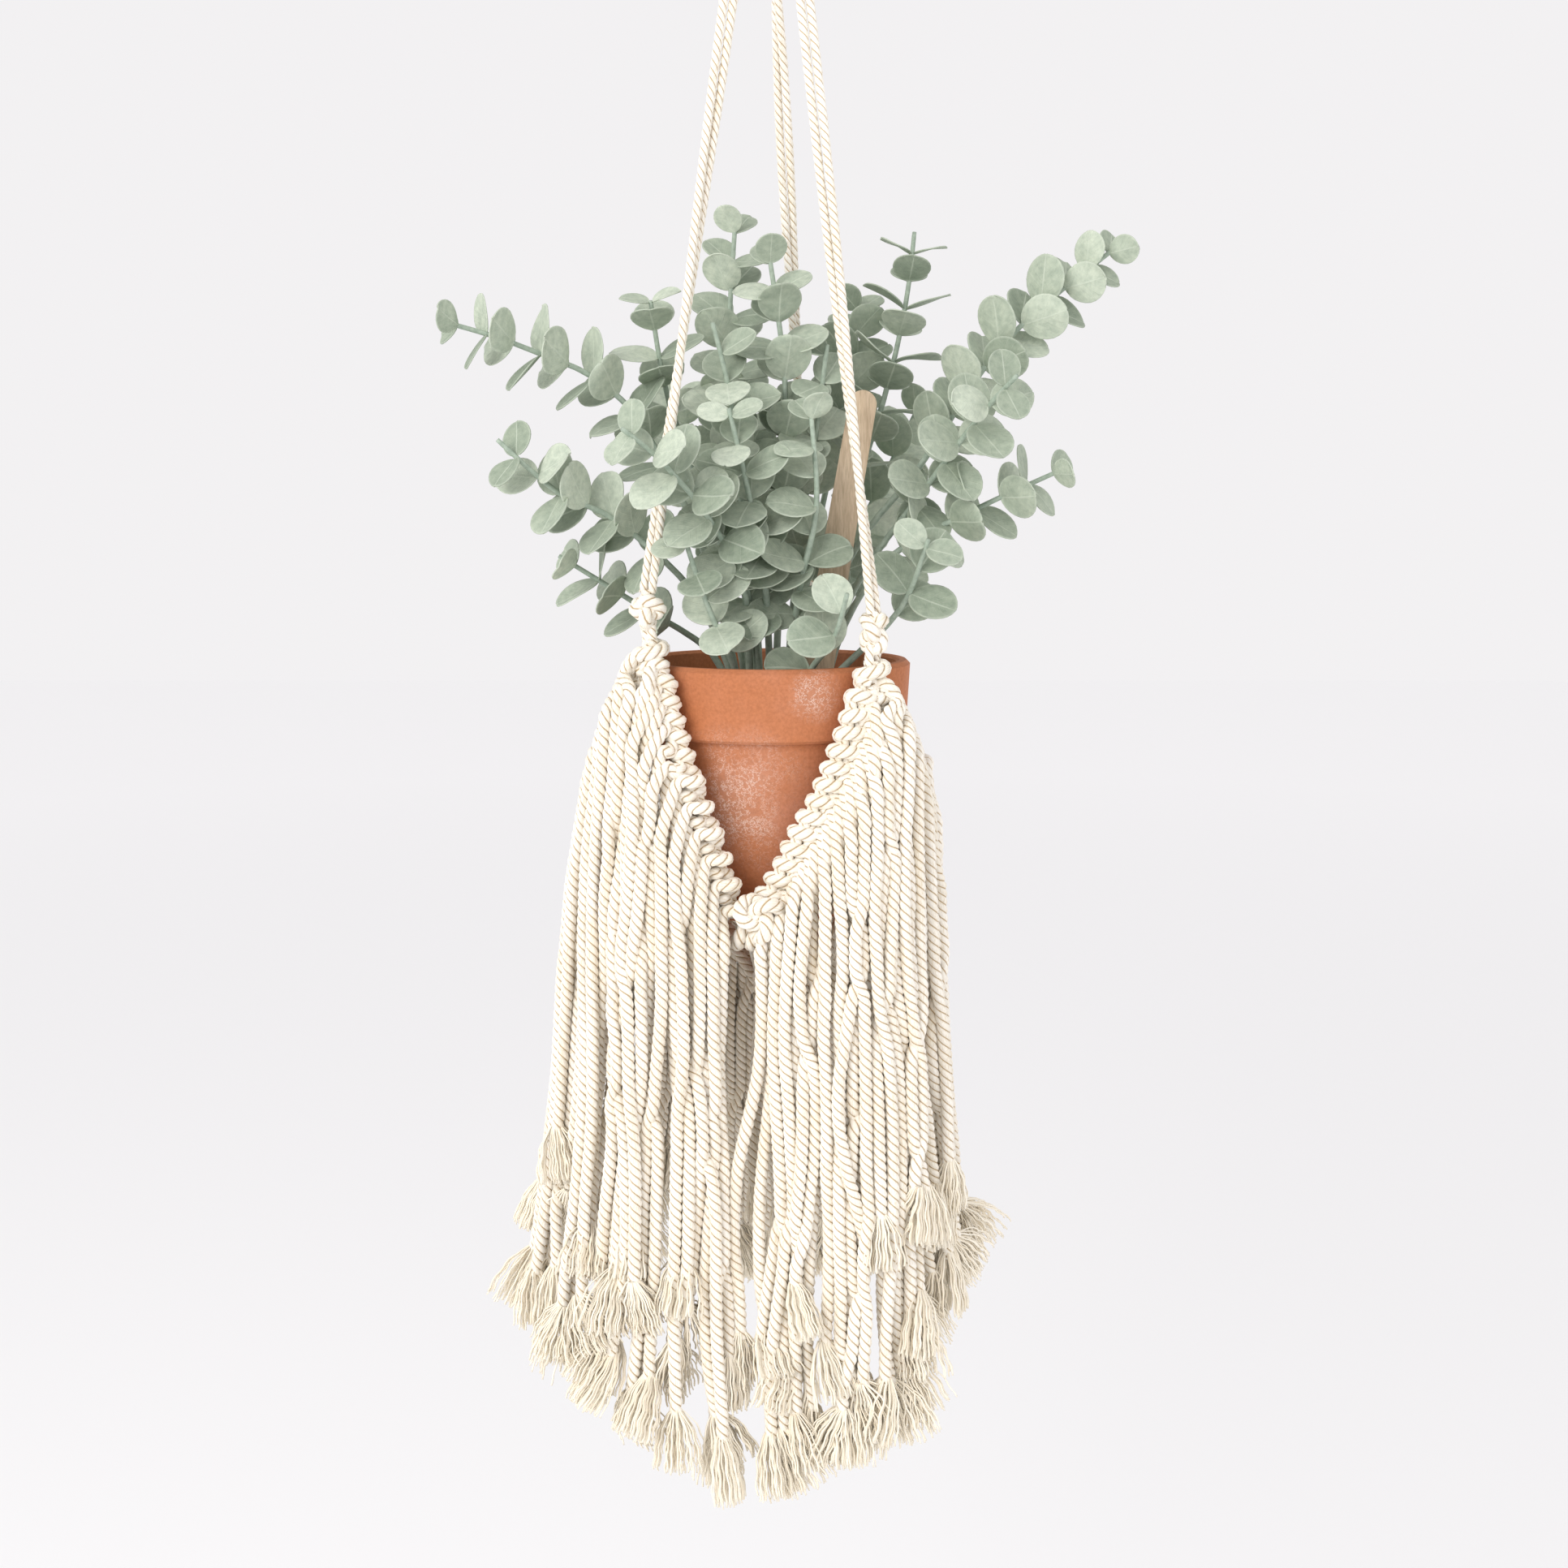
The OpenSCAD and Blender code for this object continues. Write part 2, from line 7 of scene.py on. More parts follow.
import bpy
import numpy as np
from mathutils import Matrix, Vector


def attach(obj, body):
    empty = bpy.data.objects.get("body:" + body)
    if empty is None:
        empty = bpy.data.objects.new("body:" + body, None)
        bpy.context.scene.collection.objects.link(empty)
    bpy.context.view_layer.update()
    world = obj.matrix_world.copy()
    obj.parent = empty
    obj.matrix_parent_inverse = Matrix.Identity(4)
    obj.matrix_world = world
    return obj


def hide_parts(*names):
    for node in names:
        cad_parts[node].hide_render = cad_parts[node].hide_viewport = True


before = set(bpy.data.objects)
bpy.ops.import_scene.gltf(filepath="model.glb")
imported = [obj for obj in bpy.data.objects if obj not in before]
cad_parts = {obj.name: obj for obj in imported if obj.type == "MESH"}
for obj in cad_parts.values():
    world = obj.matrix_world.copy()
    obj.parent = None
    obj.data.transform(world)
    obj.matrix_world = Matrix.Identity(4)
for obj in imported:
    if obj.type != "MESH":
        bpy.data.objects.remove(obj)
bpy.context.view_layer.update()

MM = 0.001
RNG = np.random.default_rng(11)
FULL_TURN = 6.28

# ---- Sizes and places, the same as the CAD's ----

RIM_Z = -386.0
RING_OUTER_D = 40.0
RING_BAR_D = 6.0
ROPE_D = 3.2
CORD_D = 4.6
WRAP_DROP = 19.0
WRAP_LEN = 28.0
SHOULDER_R = 59.0
CROWN_R = 58.0
CROWN_H = 17.0
CROWN_TOP = [11, 4, -1]
KNOT_D = 12.0
KNOT_H = 14.0
BAND_D = 9.6
FRINGE_DROP = 301.0
FRINGE_T = 8.0
FRINGE_FLARE = 20.0
BASE_KNOT_DROP = 124.0
BASE_KNOT_H = 18.0
TAIL_LEN = 104.0
TAIL_RING_R = 4.9
POT_D = 103.0
POT_H = 93.0
POT_FOOT_D = 68.0
SOIL_DROP = 14.0
LEAF_D = 16.5
STEM_D = 2.4
LEAF_PITCH = 10.0

RING_R = (RING_OUTER_D - RING_BAR_D) / 2
BAR_Z = -(RING_R - RING_BAR_D / 2) - RING_R
FOLD_R = RING_BAR_D / 2 + 0.45 + ROPE_D / 2
FOLD_PITCH = ROPE_D + 0.1
BUNDLE_Y = FOLD_PITCH / 2
BUNDLE_R = math.hypot(FOLD_PITCH, BUNDLE_Y) + ROPE_D / 2
WRAP_TOP = BAR_Z - WRAP_DROP
WRAP_LOW = WRAP_TOP - WRAP_LEN
ROPE_TOP = WRAP_LOW - 2.5

# Name, azimuth from the front, height of the knot over the rim, where the ropes leave the wrap
SHOULDERS = [
    ("left", -46, 20, (-3.3, -3.2)),
    ("right", 37, 13, (2.8, -3.7)),
    ("back", 165, 8, (-2, 4.6)),
]
# Name, azimuth, depth below the rim
VEES = [("front", -11, 88), ("right", 101, 82), ("left", -120, 77)]
# Name, shoulder, V, share of the turn taken early, how far the fringe reaches up beside the crown
BANDS = [
    ("left_front", 0, 0, 1, 6),
    ("right_front", 1, 0, 1.35, 0),
    ("right_side", 1, 1, 1, 9),
    ("back_right", 2, 1, 1, 7),
    ("back_left", 2, 2, 1, 7),
    ("left_side", 0, 2, 1, 12),
]
# How many ropes hang from each band
STRANDS = {
    "left_front": 18, "right_front": 20, "right_side": 19,
    "back_right": 21, "back_left": 23, "left_side": 22,
}
# Half the width of each band across its hitches
HITCH_REACH = {"left_front": 3.2, "right_front": 4.3}
HITCH_REACH_ELSEWHERE = 3.8
# The depth that the frayed ends reach at each azimuth, as a share of the longest
FRINGE_REACH = [
    (-180, 0.96), (-150, 0.93), (-120, 0.87), (-90, 0.83), (-70, 0.84), (-50, 0.87),
    (-36, 0.92), (-24, 0.98), (-6, 1), (10, 0.975), (36, 0.935), (48, 0.885),
    (62, 0.81), (90, 0.79), (120, 0.85), (150, 0.93), (180, 0.96),
]
REACH_AZIMUTH, REACH = zip(*FRINGE_REACH)
# How many degrees from its shoulder and from its V a band starts and ends
BAND_START = 5.2
BAND_END = 7.5
# The bands' distance from the axis at heights over the rim
BAND_R_Z = [-96, -88, -70, -50, -26, 0, 12]
BAND_R = [43.5, 44.5, 48, 52.4, 56.8, 57.6, 58]

STICK_LEAN = (6.2, 9.4)
STICK_AT_RIM = (17.5, -5.0)
STICK_LOW_W = 13.0
STICK_T = 2.0
STICK_ABOVE = 98.0
STICK_TRAVEL = 50.0
POT_TRAVEL = 20.0

# Name, share of the stem where the leaves start, turn of the first pair, the stem's route
FOOT = -20
SPRIGS = [
    ("far_left", 0.5, 20,
     [(-10, 0, FOOT), (-25, 0, 40), (-52, -12, 92), (-85, -18, 110), (-114, -22, 119)]),
    ("upper_left", 0.74, 0, [(-8, 7, FOOT), (-20, 14, 45), (-37, 4, 92), (-43, -4, 128)]),
    ("mid_left", 0.5, 45,
     [(-10, -4, FOOT), (-26, -14, 22), (-54, -22, 50), (-74, -28, 60), (-94, -34, 78)]),
    ("low_left", 0.48, 80, [(-14, 0, FOOT), (-22, -2, 2), (-48, -10, 20), (-76, -16, 38)]),
    ("left_rosette", 0.5, 30,
     [(-8, -8, FOOT), (-9, -26, 24), (-20, -46, 50), (-36, -58, 70), (-48, -66, 80)]),
    ("top_back", 0.42, 60, [(-4, 8, FOOT), (-8, 14, 60), (-15, 12, 115), (-13, 8, 156)]),
    ("top_front", 0.42, 10, [(1, -4, FOOT), (4, -6, 50), (5, -10, 100), (-1, -14, 146)]),
    ("tall_right", 0.52, 0,
     [(8, 7, FOOT), (26, 14, 45), (42, 20, 95), (50, 22, 130), (53, 22, 156)]),
    ("back_tuft", 0.6, 35, [(4, 12, FOOT), (18, 22, 50), (29, 30, 100), (33, 34, 132)]),
    ("far_right", 0.55, 25,
     [(12, 2, FOOT), (28, 2, 35), (54, -4, 70), (84, -4, 114), (122, -2, 146)]),
    ("right_rosette", 0.5, 50,
     [(14, 5, FOOT), (31, 2, 26), (54, -12, 60), (72, -34, 86), (82, -52, 98)]),
    ("low_right", 0.45, 15,
     [(18, 3, FOOT), (27, 0, 12), (44, -8, 38), (72, -16, 54), (102, -22, 68)]),
    ("right_knot_tuft", 0.62, 70, [(9, -9, FOOT), (26, -18, -2), (46, -28, 20), (54, -44, 44)]),
    ("front_low_left", 0.45, 5, [(-6, -12, FOOT), (-14, -30, 2), (-22, -40, 22), (-29, -46, 44)]),
    ("front_mid_left", 0.45, 55, [(-3, -9, FOOT), (-8, -22, 24), (-18, -34, 50), (-28, -48, 64)]),
    ("front_centre", 0.36, 75, [(0, -12, FOOT), (-2, -26, 30), (-8, -36, 62), (-14, -42, 88)]),
    ("front_right", 0.36, 30, [(4, -9, FOOT), (10, -26, 25), (16, -34, 55), (14, -36, 86)]),
    ("front_low_right", 0.4, 40, [(8, -13, FOOT), (14, -30, -2), (22, -42, 10), (26, -54, 26)]),
    ("centre_left", 0.5, 0, [(-4, 2, FOOT), (-10, -10, 50), (-14, -20, 92), (-20, -26, 118)]),
    ("centre_right", 0.45, 65, [(5, 3, FOOT), (10, 2, 40), (16, -4, 80), (20, -12, 112)]),
    ("back_left", 0.35, 20, [(-6, 13, FOOT), (-18, 28, 36), (-30, 44, 74), (-38, 54, 104)]),
    ("back_right", 0.35, 55, [(10, 12, FOOT), (28, 26, 34), (44, 38, 68), (58, 46, 96)]),
]

# ---- Looks of the rope ----

PLIES = 3
LAY = 9.6
# The middle and the radius of a ply, as shares of the rope's diameter
PLY_AT = 0.175
PLY_R = 0.325
RINGS_PER_TURN = 10
# Where the corners of one ply lie, from the groove before it (-1) to the groove after it (1)
PLY_CORNERS = [-1, -0.84, -0.48, 0, 0.48, 0.84]
STRAND_D = 4.8
TASSEL_LEN = 23.0
YARNS = 72
YARN_D = 0.66
YARN_RINGS = 14
YARN_SIDES = 4
DECLARED_PER_BAND = 5


# ---- Camera: its place in metres, how many degrees it looks down, and its lens ----

CAMERA_AT = (0.0047, -0.620, -0.3356)
CAMERA_DOWN = 8.96
LENS = 38.29


def put(name, data):
    """Puts a mesh, light or camera in the scene."""
    thing = bpy.data.objects.new(name, data)
    bpy.context.scene.collection.objects.link(thing)
    return thing


def add_camera():
    data = bpy.data.cameras.new("camera")
    data.lens = LENS
    data.sensor_width = 36
    data.clip_start = 0.01
    camera = put("camera", data)
    camera.location = CAMERA_AT
    camera.rotation_euler = (math.radians(90 - CAMERA_DOWN), 0, 0)
    bpy.context.scene.camera = camera


add_camera()

# ---- Lines ----


def unit(v):
    v = np.asarray(v, float)
    return v / np.linalg.norm(v)


def polar(azimuth, radius, height):
    a = math.radians(azimuth)
    return np.array([radius * math.sin(a), -radius * math.cos(a), RIM_Z + height])


def side_way(azimuth):
    a = math.radians(azimuth)
    return np.array([math.cos(a), math.sin(a), 0.0])


def smooth(points, steps=4):
    """A smooth line through the points, with the given number of steps in each stretch."""
    p = np.asarray(points, float)
    out = []
    for i in range(len(p) - 1):
        a, b, c, d = p[max(i - 1, 0)], p[i], p[i + 1], p[min(i + 2, len(p) - 1)]
        for k in range(steps):
            t = k / steps
            bend = (2 * a - 5 * b + 4 * c - d) * t**2
            turn = (3 * b - a - 3 * c + d) * t**3
            out.append(0.5 * (2 * b + (c - a) * t + bend + turn))
    out.append(p[-1])
    return np.array(out)


def lengths(p):
    """The distance along the line at each of its points."""
    return np.concatenate([[0], np.cumsum(np.linalg.norm(np.diff(p, axis=0), axis=1))])


def even(points, step):
    """The same line with its points an even step apart."""
    p = np.asarray(points, float)
    s = lengths(p)
    at = np.linspace(0, s[-1], max(2, round(s[-1] / step) + 1))
    return np.stack([np.interp(at, s, p[:, k]) for k in range(3)], axis=1)


def crosswise(p):
    """At each point of a line, its direction and two crosswise directions that don't twist."""
    t = np.gradient(p, axis=0)
    t /= np.linalg.norm(t, axis=1)[:, None]
    u = np.zeros_like(p)
    ref = (0, 1, 0) if abs(t[0][1]) < 0.9 else (1, 0, 0)
    u[0] = unit(np.cross(ref, t[0]))
    for i in range(1, len(p)):
        w = u[i - 1] - t[i] * np.dot(u[i - 1], t[i])
        u[i] = w / np.linalg.norm(w)
    return t, u, np.cross(t, u)


def wound(line, radius, pitch, start=0.0, hand=1):
    """A line that winds round another one."""
    line = even(line, pitch / 20)
    _, u, v = crosswise(line)
    a = start + hand * 2 * math.pi * lengths(line) / pitch
    return line + radius * (np.cos(a)[:, None] * u + np.sin(a)[:, None] * v)


# ---- Gathering meshes ----


class Bunch:
    """Points and faces gathered into one mesh, each point with its place in the straight rope or
    flat leaf, and with a height above the grooves."""

    def __init__(self):
        self.points, self.faces, self.place, self.ridge, self.kinds = [], [], [], [], []
        self.count = 0

    def add(self, points, faces, place, ridge, kind=0):
        self.points.append(np.asarray(points, float))
        self.faces += [[k + self.count for k in f] for f in faces]
        self.place.append(np.asarray(place, float))
        self.ridge.append(np.broadcast_to(np.asarray(ridge, float), len(points)))
        self.kinds += [kind] * len(faces)
        self.count += len(points)

    def make(self, name, body, slot, materials, nodes=()):
        mesh = bpy.data.meshes.new(name)
        mesh.from_pydata((np.concatenate(self.points) * MM).tolist(), [], self.faces)
        place = mesh.attributes.new("place", "FLOAT_VECTOR", "POINT")
        place.data.foreach_set("vector", np.concatenate(self.place).astype(np.float32).ravel())
        ridge = mesh.attributes.new("ridge", "FLOAT", "POINT")
        ridge.data.foreach_set("value", np.concatenate(self.ridge).astype(np.float32))
        for material in materials:
            mesh.materials.append(material)
        mesh.polygons.foreach_set("material_index", self.kinds)
        mesh.shade_smooth()
        piece = put(name, mesh)
        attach(piece, body)
        if nodes:
            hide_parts(*nodes)
        return piece


def skin(rings, sides):
    """The faces of a closed tube with that many rings of that many points."""
    i = np.arange(rings - 1)[:, None] * sides
    k = np.arange(sides)[None, :]
    a, b = i + k, i + (k + 1) % sides
    faces = np.stack([a, b, b + sides, a + sides], axis=-1).reshape(-1, 4).tolist()
    faces.append(list(range(sides))[::-1])
    faces.append(list(range((rings - 1) * sides, rings * sides)))
    return faces


# How many ropes have been laid. It turns each rope's plies and shifts its looks.
ROPE_COUNT = [0]
TURN_EACH = 1.7
SHIFT_EACH = 137


def lay_rope(bunch, line, d, lay=LAY):
    """A rope of three plies laid along a line. Its plies lean like the middle of a letter S."""
    p = even(line, lay / RINGS_PER_TURN)
    _, u, v = crosswise(p)
    s = lengths(p)
    half = math.pi / PLIES
    off = np.tile(np.array(PLY_CORNERS) * half, PLIES)
    around = off + np.repeat(np.arange(PLIES), len(PLY_CORNERS)) * 2 * half
    r = d * (PLY_AT * np.cos(off) + np.sqrt(PLY_R**2 - (PLY_AT * np.sin(off)) ** 2))
    ROPE_COUNT[0] += 1
    angle = around[None, :] - 2 * math.pi * s[:, None] / lay + TURN_EACH * ROPE_COUNT[0]
    x, y = r * np.cos(angle), r * np.sin(angle)
    points = p[:, None, :] + x[..., None] * u[:, None, :] + y[..., None] * v[:, None, :]
    along = np.broadcast_to(s[:, None] + SHIFT_EACH * ROPE_COUNT[0], x.shape)
    place = np.stack([x, y, along], axis=-1)
    # The height above the grooves: 0 in a groove, 1 on a ply's crest. The cotton look paints shade
    # where it is low.
    ridge = np.broadcast_to((r - r.min()) / (r.max() - r.min()), x.shape)
    bunch.add(points.reshape(-1, 3), skin(len(p), len(around)), place.reshape(-1, 3), ridge.ravel())
    return p


# How soon a tassel widens below the rope
SKIRT = 2.6


def fray(bunch, end, way, length, spread, yarns=YARNS):
    """The yarns of an unlaid rope end. They spread like a skirt, cut off level, and are still
    crimped from the lay."""
    way = unit(way)
    u = unit(np.cross(way, (0.3, 1, 0.2)))
    v = np.cross(way, u)
    f = np.linspace(0, 1, YARN_RINGS)
    flat, crimp = RNG.uniform(0, math.pi), RNG.uniform(6.5, 9.5)
    corners = np.arange(YARN_SIDES) * 2 * math.pi / YARN_SIDES
    ring = [math.cos(q) * u + math.sin(q) * v for q in corners]
    for k in range(yarns):
        a, share = RNG.uniform(0, 2 * math.pi), math.sqrt(RNG.uniform(0, 1))
        out = math.cos(a) * u + math.sin(a) * v
        wide = 1 + 0.4 * math.cos(2 * (a - flat))
        reach = length * RNG.uniform(0.92, 1.03) * (1 - 0.07 * share**2)
        fan = spread * share * wide * RNG.uniform(0.85, 1.1)
        wave = RNG.uniform(0.15, 0.42)
        swirl = 2 * math.pi * reach * f / crimp + a + RNG.normal(0, 0.8)
        coil = np.cos(swirl)[:, None] * u + np.sin(swirl)[:, None] * v
        swing = wave * np.minimum(1, 4 * f)[:, None] * coil
        skirt = (1 - np.exp(-SKIRT * f)) / (1 - math.exp(-SKIRT))
        bell = 0.36 * CORD_D * share + fan * length * skirt
        line = end + (reach * f - 3)[:, None] * way + out * bell[:, None] + swing
        thick = YARN_D / 2 * RNG.uniform(0.85, 1.15)
        points = line[:, None, :] + thick * np.array(ring)[None, :, :]
        place = np.zeros((YARN_RINGS, YARN_SIDES, 3))
        place[..., 0] = 7 * k
        place[..., 2] = (reach * f)[:, None] + 31 * k
        faces = skin(YARN_RINGS, YARN_SIDES)
        bunch.add(points.reshape(-1, 3), faces, place.reshape(-1, 3), 1.0, 1)


# ---- Materials ----


class Look:
    """A node material while it is built. Its methods add nodes and return their outputs."""

    def __init__(self, name):
        self.material = bpy.data.materials.new(name)
        self.material.use_nodes = True
        self.nodes = self.material.node_tree.nodes
        self.link = self.material.node_tree.links.new
        self.shader = self.nodes["Principled BSDF"]

    def add(self, kind, **values):
        n = self.nodes.new(kind)
        for key, value in values.items():
            if key in n.inputs:
                n.inputs[key].default_value = value
            else:
                setattr(n, key, value)
        return n

    def feed(self, n, inputs):
        """Gives a node its inputs, each a number and then a socket, a plain value or None."""
        for key, value in inputs:
            if hasattr(value, "is_output"):
                self.link(value, n.inputs[key])
            elif value is not None:
                n.inputs[key].default_value = value
        return n.outputs

    def attribute(self, name, output):
        return self.add("ShaderNodeAttribute", attribute_name=name).outputs[output]

    def place(self):
        return self.nodes.new("ShaderNodeTexCoord").outputs["Object"]

    def ramp(self, source, stops):
        """A colour ramp through the stops, each a position and a colour."""
        n = self.nodes.new("ShaderNodeValToRGB")
        while len(n.color_ramp.elements) < len(stops):
            n.color_ramp.elements.new(0.5)
        for element, (at, colour) in zip(n.color_ramp.elements, stops):
            element.position = at
            element.color = (*colour, 1)
        self.link(source, n.inputs["Fac"])
        return n.outputs["Color"]

    def mixed(self, how, share, a, b):
        """Two colours mixed. Each input is a socket or a plain value."""
        n = self.add("ShaderNodeMix", data_type="RGBA", blend_type=how)
        a, b = ((*c, 1) if isinstance(c, tuple) else c for c in (a, b))
        return self.feed(n, ((0, share), (6, a), (7, b)))[2]

    def stretched(self, source, scale):
        n = self.add("ShaderNodeMapping", Scale=scale)
        self.link(source, n.inputs["Vector"])
        return n.outputs["Vector"]

    def noise(self, vector, scale, detail=3.0, roughness=0.55):
        n = self.add("ShaderNodeTexNoise", Scale=scale, Detail=detail, Roughness=roughness)
        self.link(vector, n.inputs["Vector"])
        return n.outputs["Fac"]

    def split(self, vector):
        return self.feed(self.add("ShaderNodeSeparateXYZ"), ((0, vector),))

    def maths(self, how, a, b):
        """A calculation on one or two sockets or numbers."""
        return self.feed(self.add("ShaderNodeMath", operation=how), ((0, a), (1, b)))[0]

    def plain(self, key, value):
        """A value of the shader that is the same everywhere."""
        self.shader.inputs[key].default_value = value

    def bumped(self, height, strength, distance):
        n = self.add("ShaderNodeBump", Strength=strength, Distance=distance)
        self.link(height, n.inputs["Height"])
        self.link(n.outputs["Normal"], self.shader.inputs["Normal"])

    def coloured(self, source, stops=None):
        """The base colour, from a socket or from a ramp."""
        self.link(self.ramp(source, stops) if stops else source, self.shader.inputs["Base Color"])

    def roughened(self, source, low, high):
        """The roughness from a ramp between two stops, each a position and a roughness."""
        stops = [(at, (value, value, value)) for at, value in (low, high)]
        self.link(self.ramp(source, stops), self.shader.inputs["Roughness"])


def cotton():
    """Undyed cotton: fine yarns along the plies, painted shade that turns brownish in the grooves
    between the plies, a soft sheen.
    """
    look = Look("cotton_rope")
    place = look.attribute("place", "Vector")
    ridge = look.attribute("ridge", "Fac")
    yarns = look.noise(look.stretched(place, (2.6, 2.6, 0.2)), 1.0, 2.0, 0.6)
    patches = look.noise(look.stretched(place, (0.12, 0.12, 0.03)), 1.0)
    warm = look.ramp(patches, [(0.34, (0.90, 0.84, 0.73)), (0.62, (0.965, 0.93, 0.865))])
    streaks = look.ramp(yarns, [(0.30, (0.84, 0.79, 0.70)), (0.50, (1, 1, 1))])
    # Painted shade: the colour darkens to brown towards the grooves between the plies, where shade
    # falls.
    grooves = [(0.0, (0.38, 0.26, 0.15)), (0.20, (0.74, 0.64, 0.50)), (0.44, (1, 1, 1))]
    groove = look.ramp(ridge, grooves)
    colour = look.mixed("MULTIPLY", 1.0, warm, streaks)
    look.coloured(look.mixed("MULTIPLY", 1.0, colour, groove))
    look.roughened(yarns, (0.3, 0.96), (0.7, 0.82))
    look.plain("Sheen Weight", 0.12)
    look.plain("Sheen Roughness", 0.5)
    look.plain("Specular IOR Level", 0.15)
    look.bumped(yarns, 0.5, 0.00025)
    return look.material


def frayed_cotton():
    """Loose yarns: a warmer cream than the laid rope, with faint streaks along each yarn."""
    look = Look("frayed_cotton")
    place = look.attribute("place", "Vector")
    tones = look.noise(look.stretched(place, (0.37, 1, 0.05)), 1.0, 2.0)
    pale = [(0.3, (0.93, 0.83, 0.66)), (0.6, (0.985, 0.925, 0.80))]
    look.coloured(tones, pale)
    look.roughened(tones, (0.3, 0.96), (0.7, 0.86))
    look.plain("Sheen Weight", 0.25)
    look.plain("Specular IOR Level", 0.1)
    fibres = look.noise(look.stretched(place, (6, 6, 0.8)), 1.0, 2.0)
    look.bumped(fibres, 0.3, 0.0001)
    return look.material


ROPE_LOOKS = [cotton(), frayed_cotton()]
HANGER_LOOK = ("hanger", "cotton_rope", ROPE_LOOKS)

# ---- Cords: the suspension ropes and the fringe ----


def shoulder(s):
    return polar(s[1], SHOULDER_R, s[2])


def rope_ends(s):
    """Where a pair of suspension ropes leaves the gathering wrap and where it enters its knot."""
    return np.array([*s[3], ROPE_TOP]), shoulder(s) + np.array([0, 0, KNOT_H / 2 - 1.2])


# How far the two ropes of a pair turn round each other, and how much they wander from that
PAIR_TURN = {"left": (200, 0), "right": (-170, 25), "back": (330, 60)}


def suspension_ropes():
    """Each pair runs taut from the wrap to its knot, and its two ropes lean round each other."""
    for s in SHOULDERS:
        top, low = rope_ends(s)
        twist, wander = PAIR_TURN[s[0]]
        side = side_way(s[1])
        front = unit(np.cross(top - low, side))
        for k, name in ((0, "a"), (1, "b")):
            f = np.linspace(0, 1, 24)
            a = np.radians(wander * np.sin(math.pi * f) + twist * f + 180 * k)
            reach = (ROPE_D + 0.2) / 2
            line = top + f[:, None] * (low - top)
            line = line + reach * (np.cos(a)[:, None] * side + np.sin(a)[:, None] * front)
            bunch = Bunch()
            path = lay_rope(bunch, line, ROPE_D, LAY * 0.95)
            piece = bunch.make(f"{s[0]}_rope_{name}", *HANGER_LOOK, [f"{s[0]}_rope_pair"])


def turn_between(a, b):
    return (b - a + 180) % 360 - 180


def band_turn(b):
    return turn_between(SHOULDERS[b[1]][1], VEES[b[2]][1])


def band_height(b, u):
    top = CROWN_TOP[b[1]] - CROWN_H + 1
    return top + (-VEES[b[2]][2] - top) * u


def band_radius(z):
    return np.interp(z, BAND_R_Z, BAND_R)


def band_azimuth(b, u):
    way = math.copysign(1, band_turn(b))
    turn = band_turn(b) - way * (BAND_START + BAND_END)
    return SHOULDERS[b[1]][1] + way * BAND_START + turn * u ** b[3]


def band_point(b, u):
    z = band_height(b, u)
    return polar(band_azimuth(b, u), band_radius(z), z)


# Degrees between neighbouring panels of fringe, at their upper ends and under a V
FRINGE_EDGE = 0.35
VEE_GAP = 7.5


def fringe_azimuth(b, u, t):
    way = math.copysign(1, band_turn(b))
    start = SHOULDERS[b[1]][1] + way * FRINGE_EDGE
    gap = max(FRINGE_EDGE, VEE_GAP * (1 - t))
    end = SHOULDERS[b[1]][1] + band_turn(b) - way * gap
    return start + (end - start) * u ** b[3]


def wrapped(azimuth):
    return azimuth - 360 if azimuth > 180 else azimuth


def fringe_rise(b, u):
    return b[4] * max(0, 1 - 3 * u)


# The fringe bows out on the left: how far, about which azimuth, and over how many degrees
BOW_OUT = 9
BOW_AZIMUTH = -85
BOW_WIDE = 38
# How much more the fringe flares at the left side and at the right side than at the front
LEFT_FLARE = 0.5
RIGHT_FLARE = 0.1


def fringe_depth(b, u, t, azimuth):
    """How far from the planter's axis the inner face of the fringe stands."""
    bow = BOW_OUT * math.exp(-(((wrapped(azimuth) - BOW_AZIMUTH) / BOW_WIDE) ** 2)) * min(1, 5 * t)
    side = abs(math.sin(math.radians(azimuth)))
    side *= LEFT_FLARE if wrapped(azimuth) < 0 else RIGHT_FLARE
    flare = FRINGE_FLARE * (0.5 + side) * t**1.7
    return band_radius(band_height(b, u)) + BAND_D / 2 + 0.9 + 0.1 * fringe_rise(b, u) + bow + flare


SHORTEST = 150.0
# How many ropes are cut short, and by how much at most: in the outer layer and in the inner one
SHORT_OUTER = (0.8, 88)
SHORT_INNER = (0.4, 50)
# Fewer are cut short beside the V: about which azimuth, over how many degrees, and the share
FULL_AZIMUTH = -8
FULL_HALF = 35
FULL_SHARE = 0.7
UNEVEN = 8
LEAN = 8.0
SHIFT = 2.2
WAVE_HEIGHT = (1.2, 3.4)
WAVES_PER_ROPE = (0.7, 2.3)


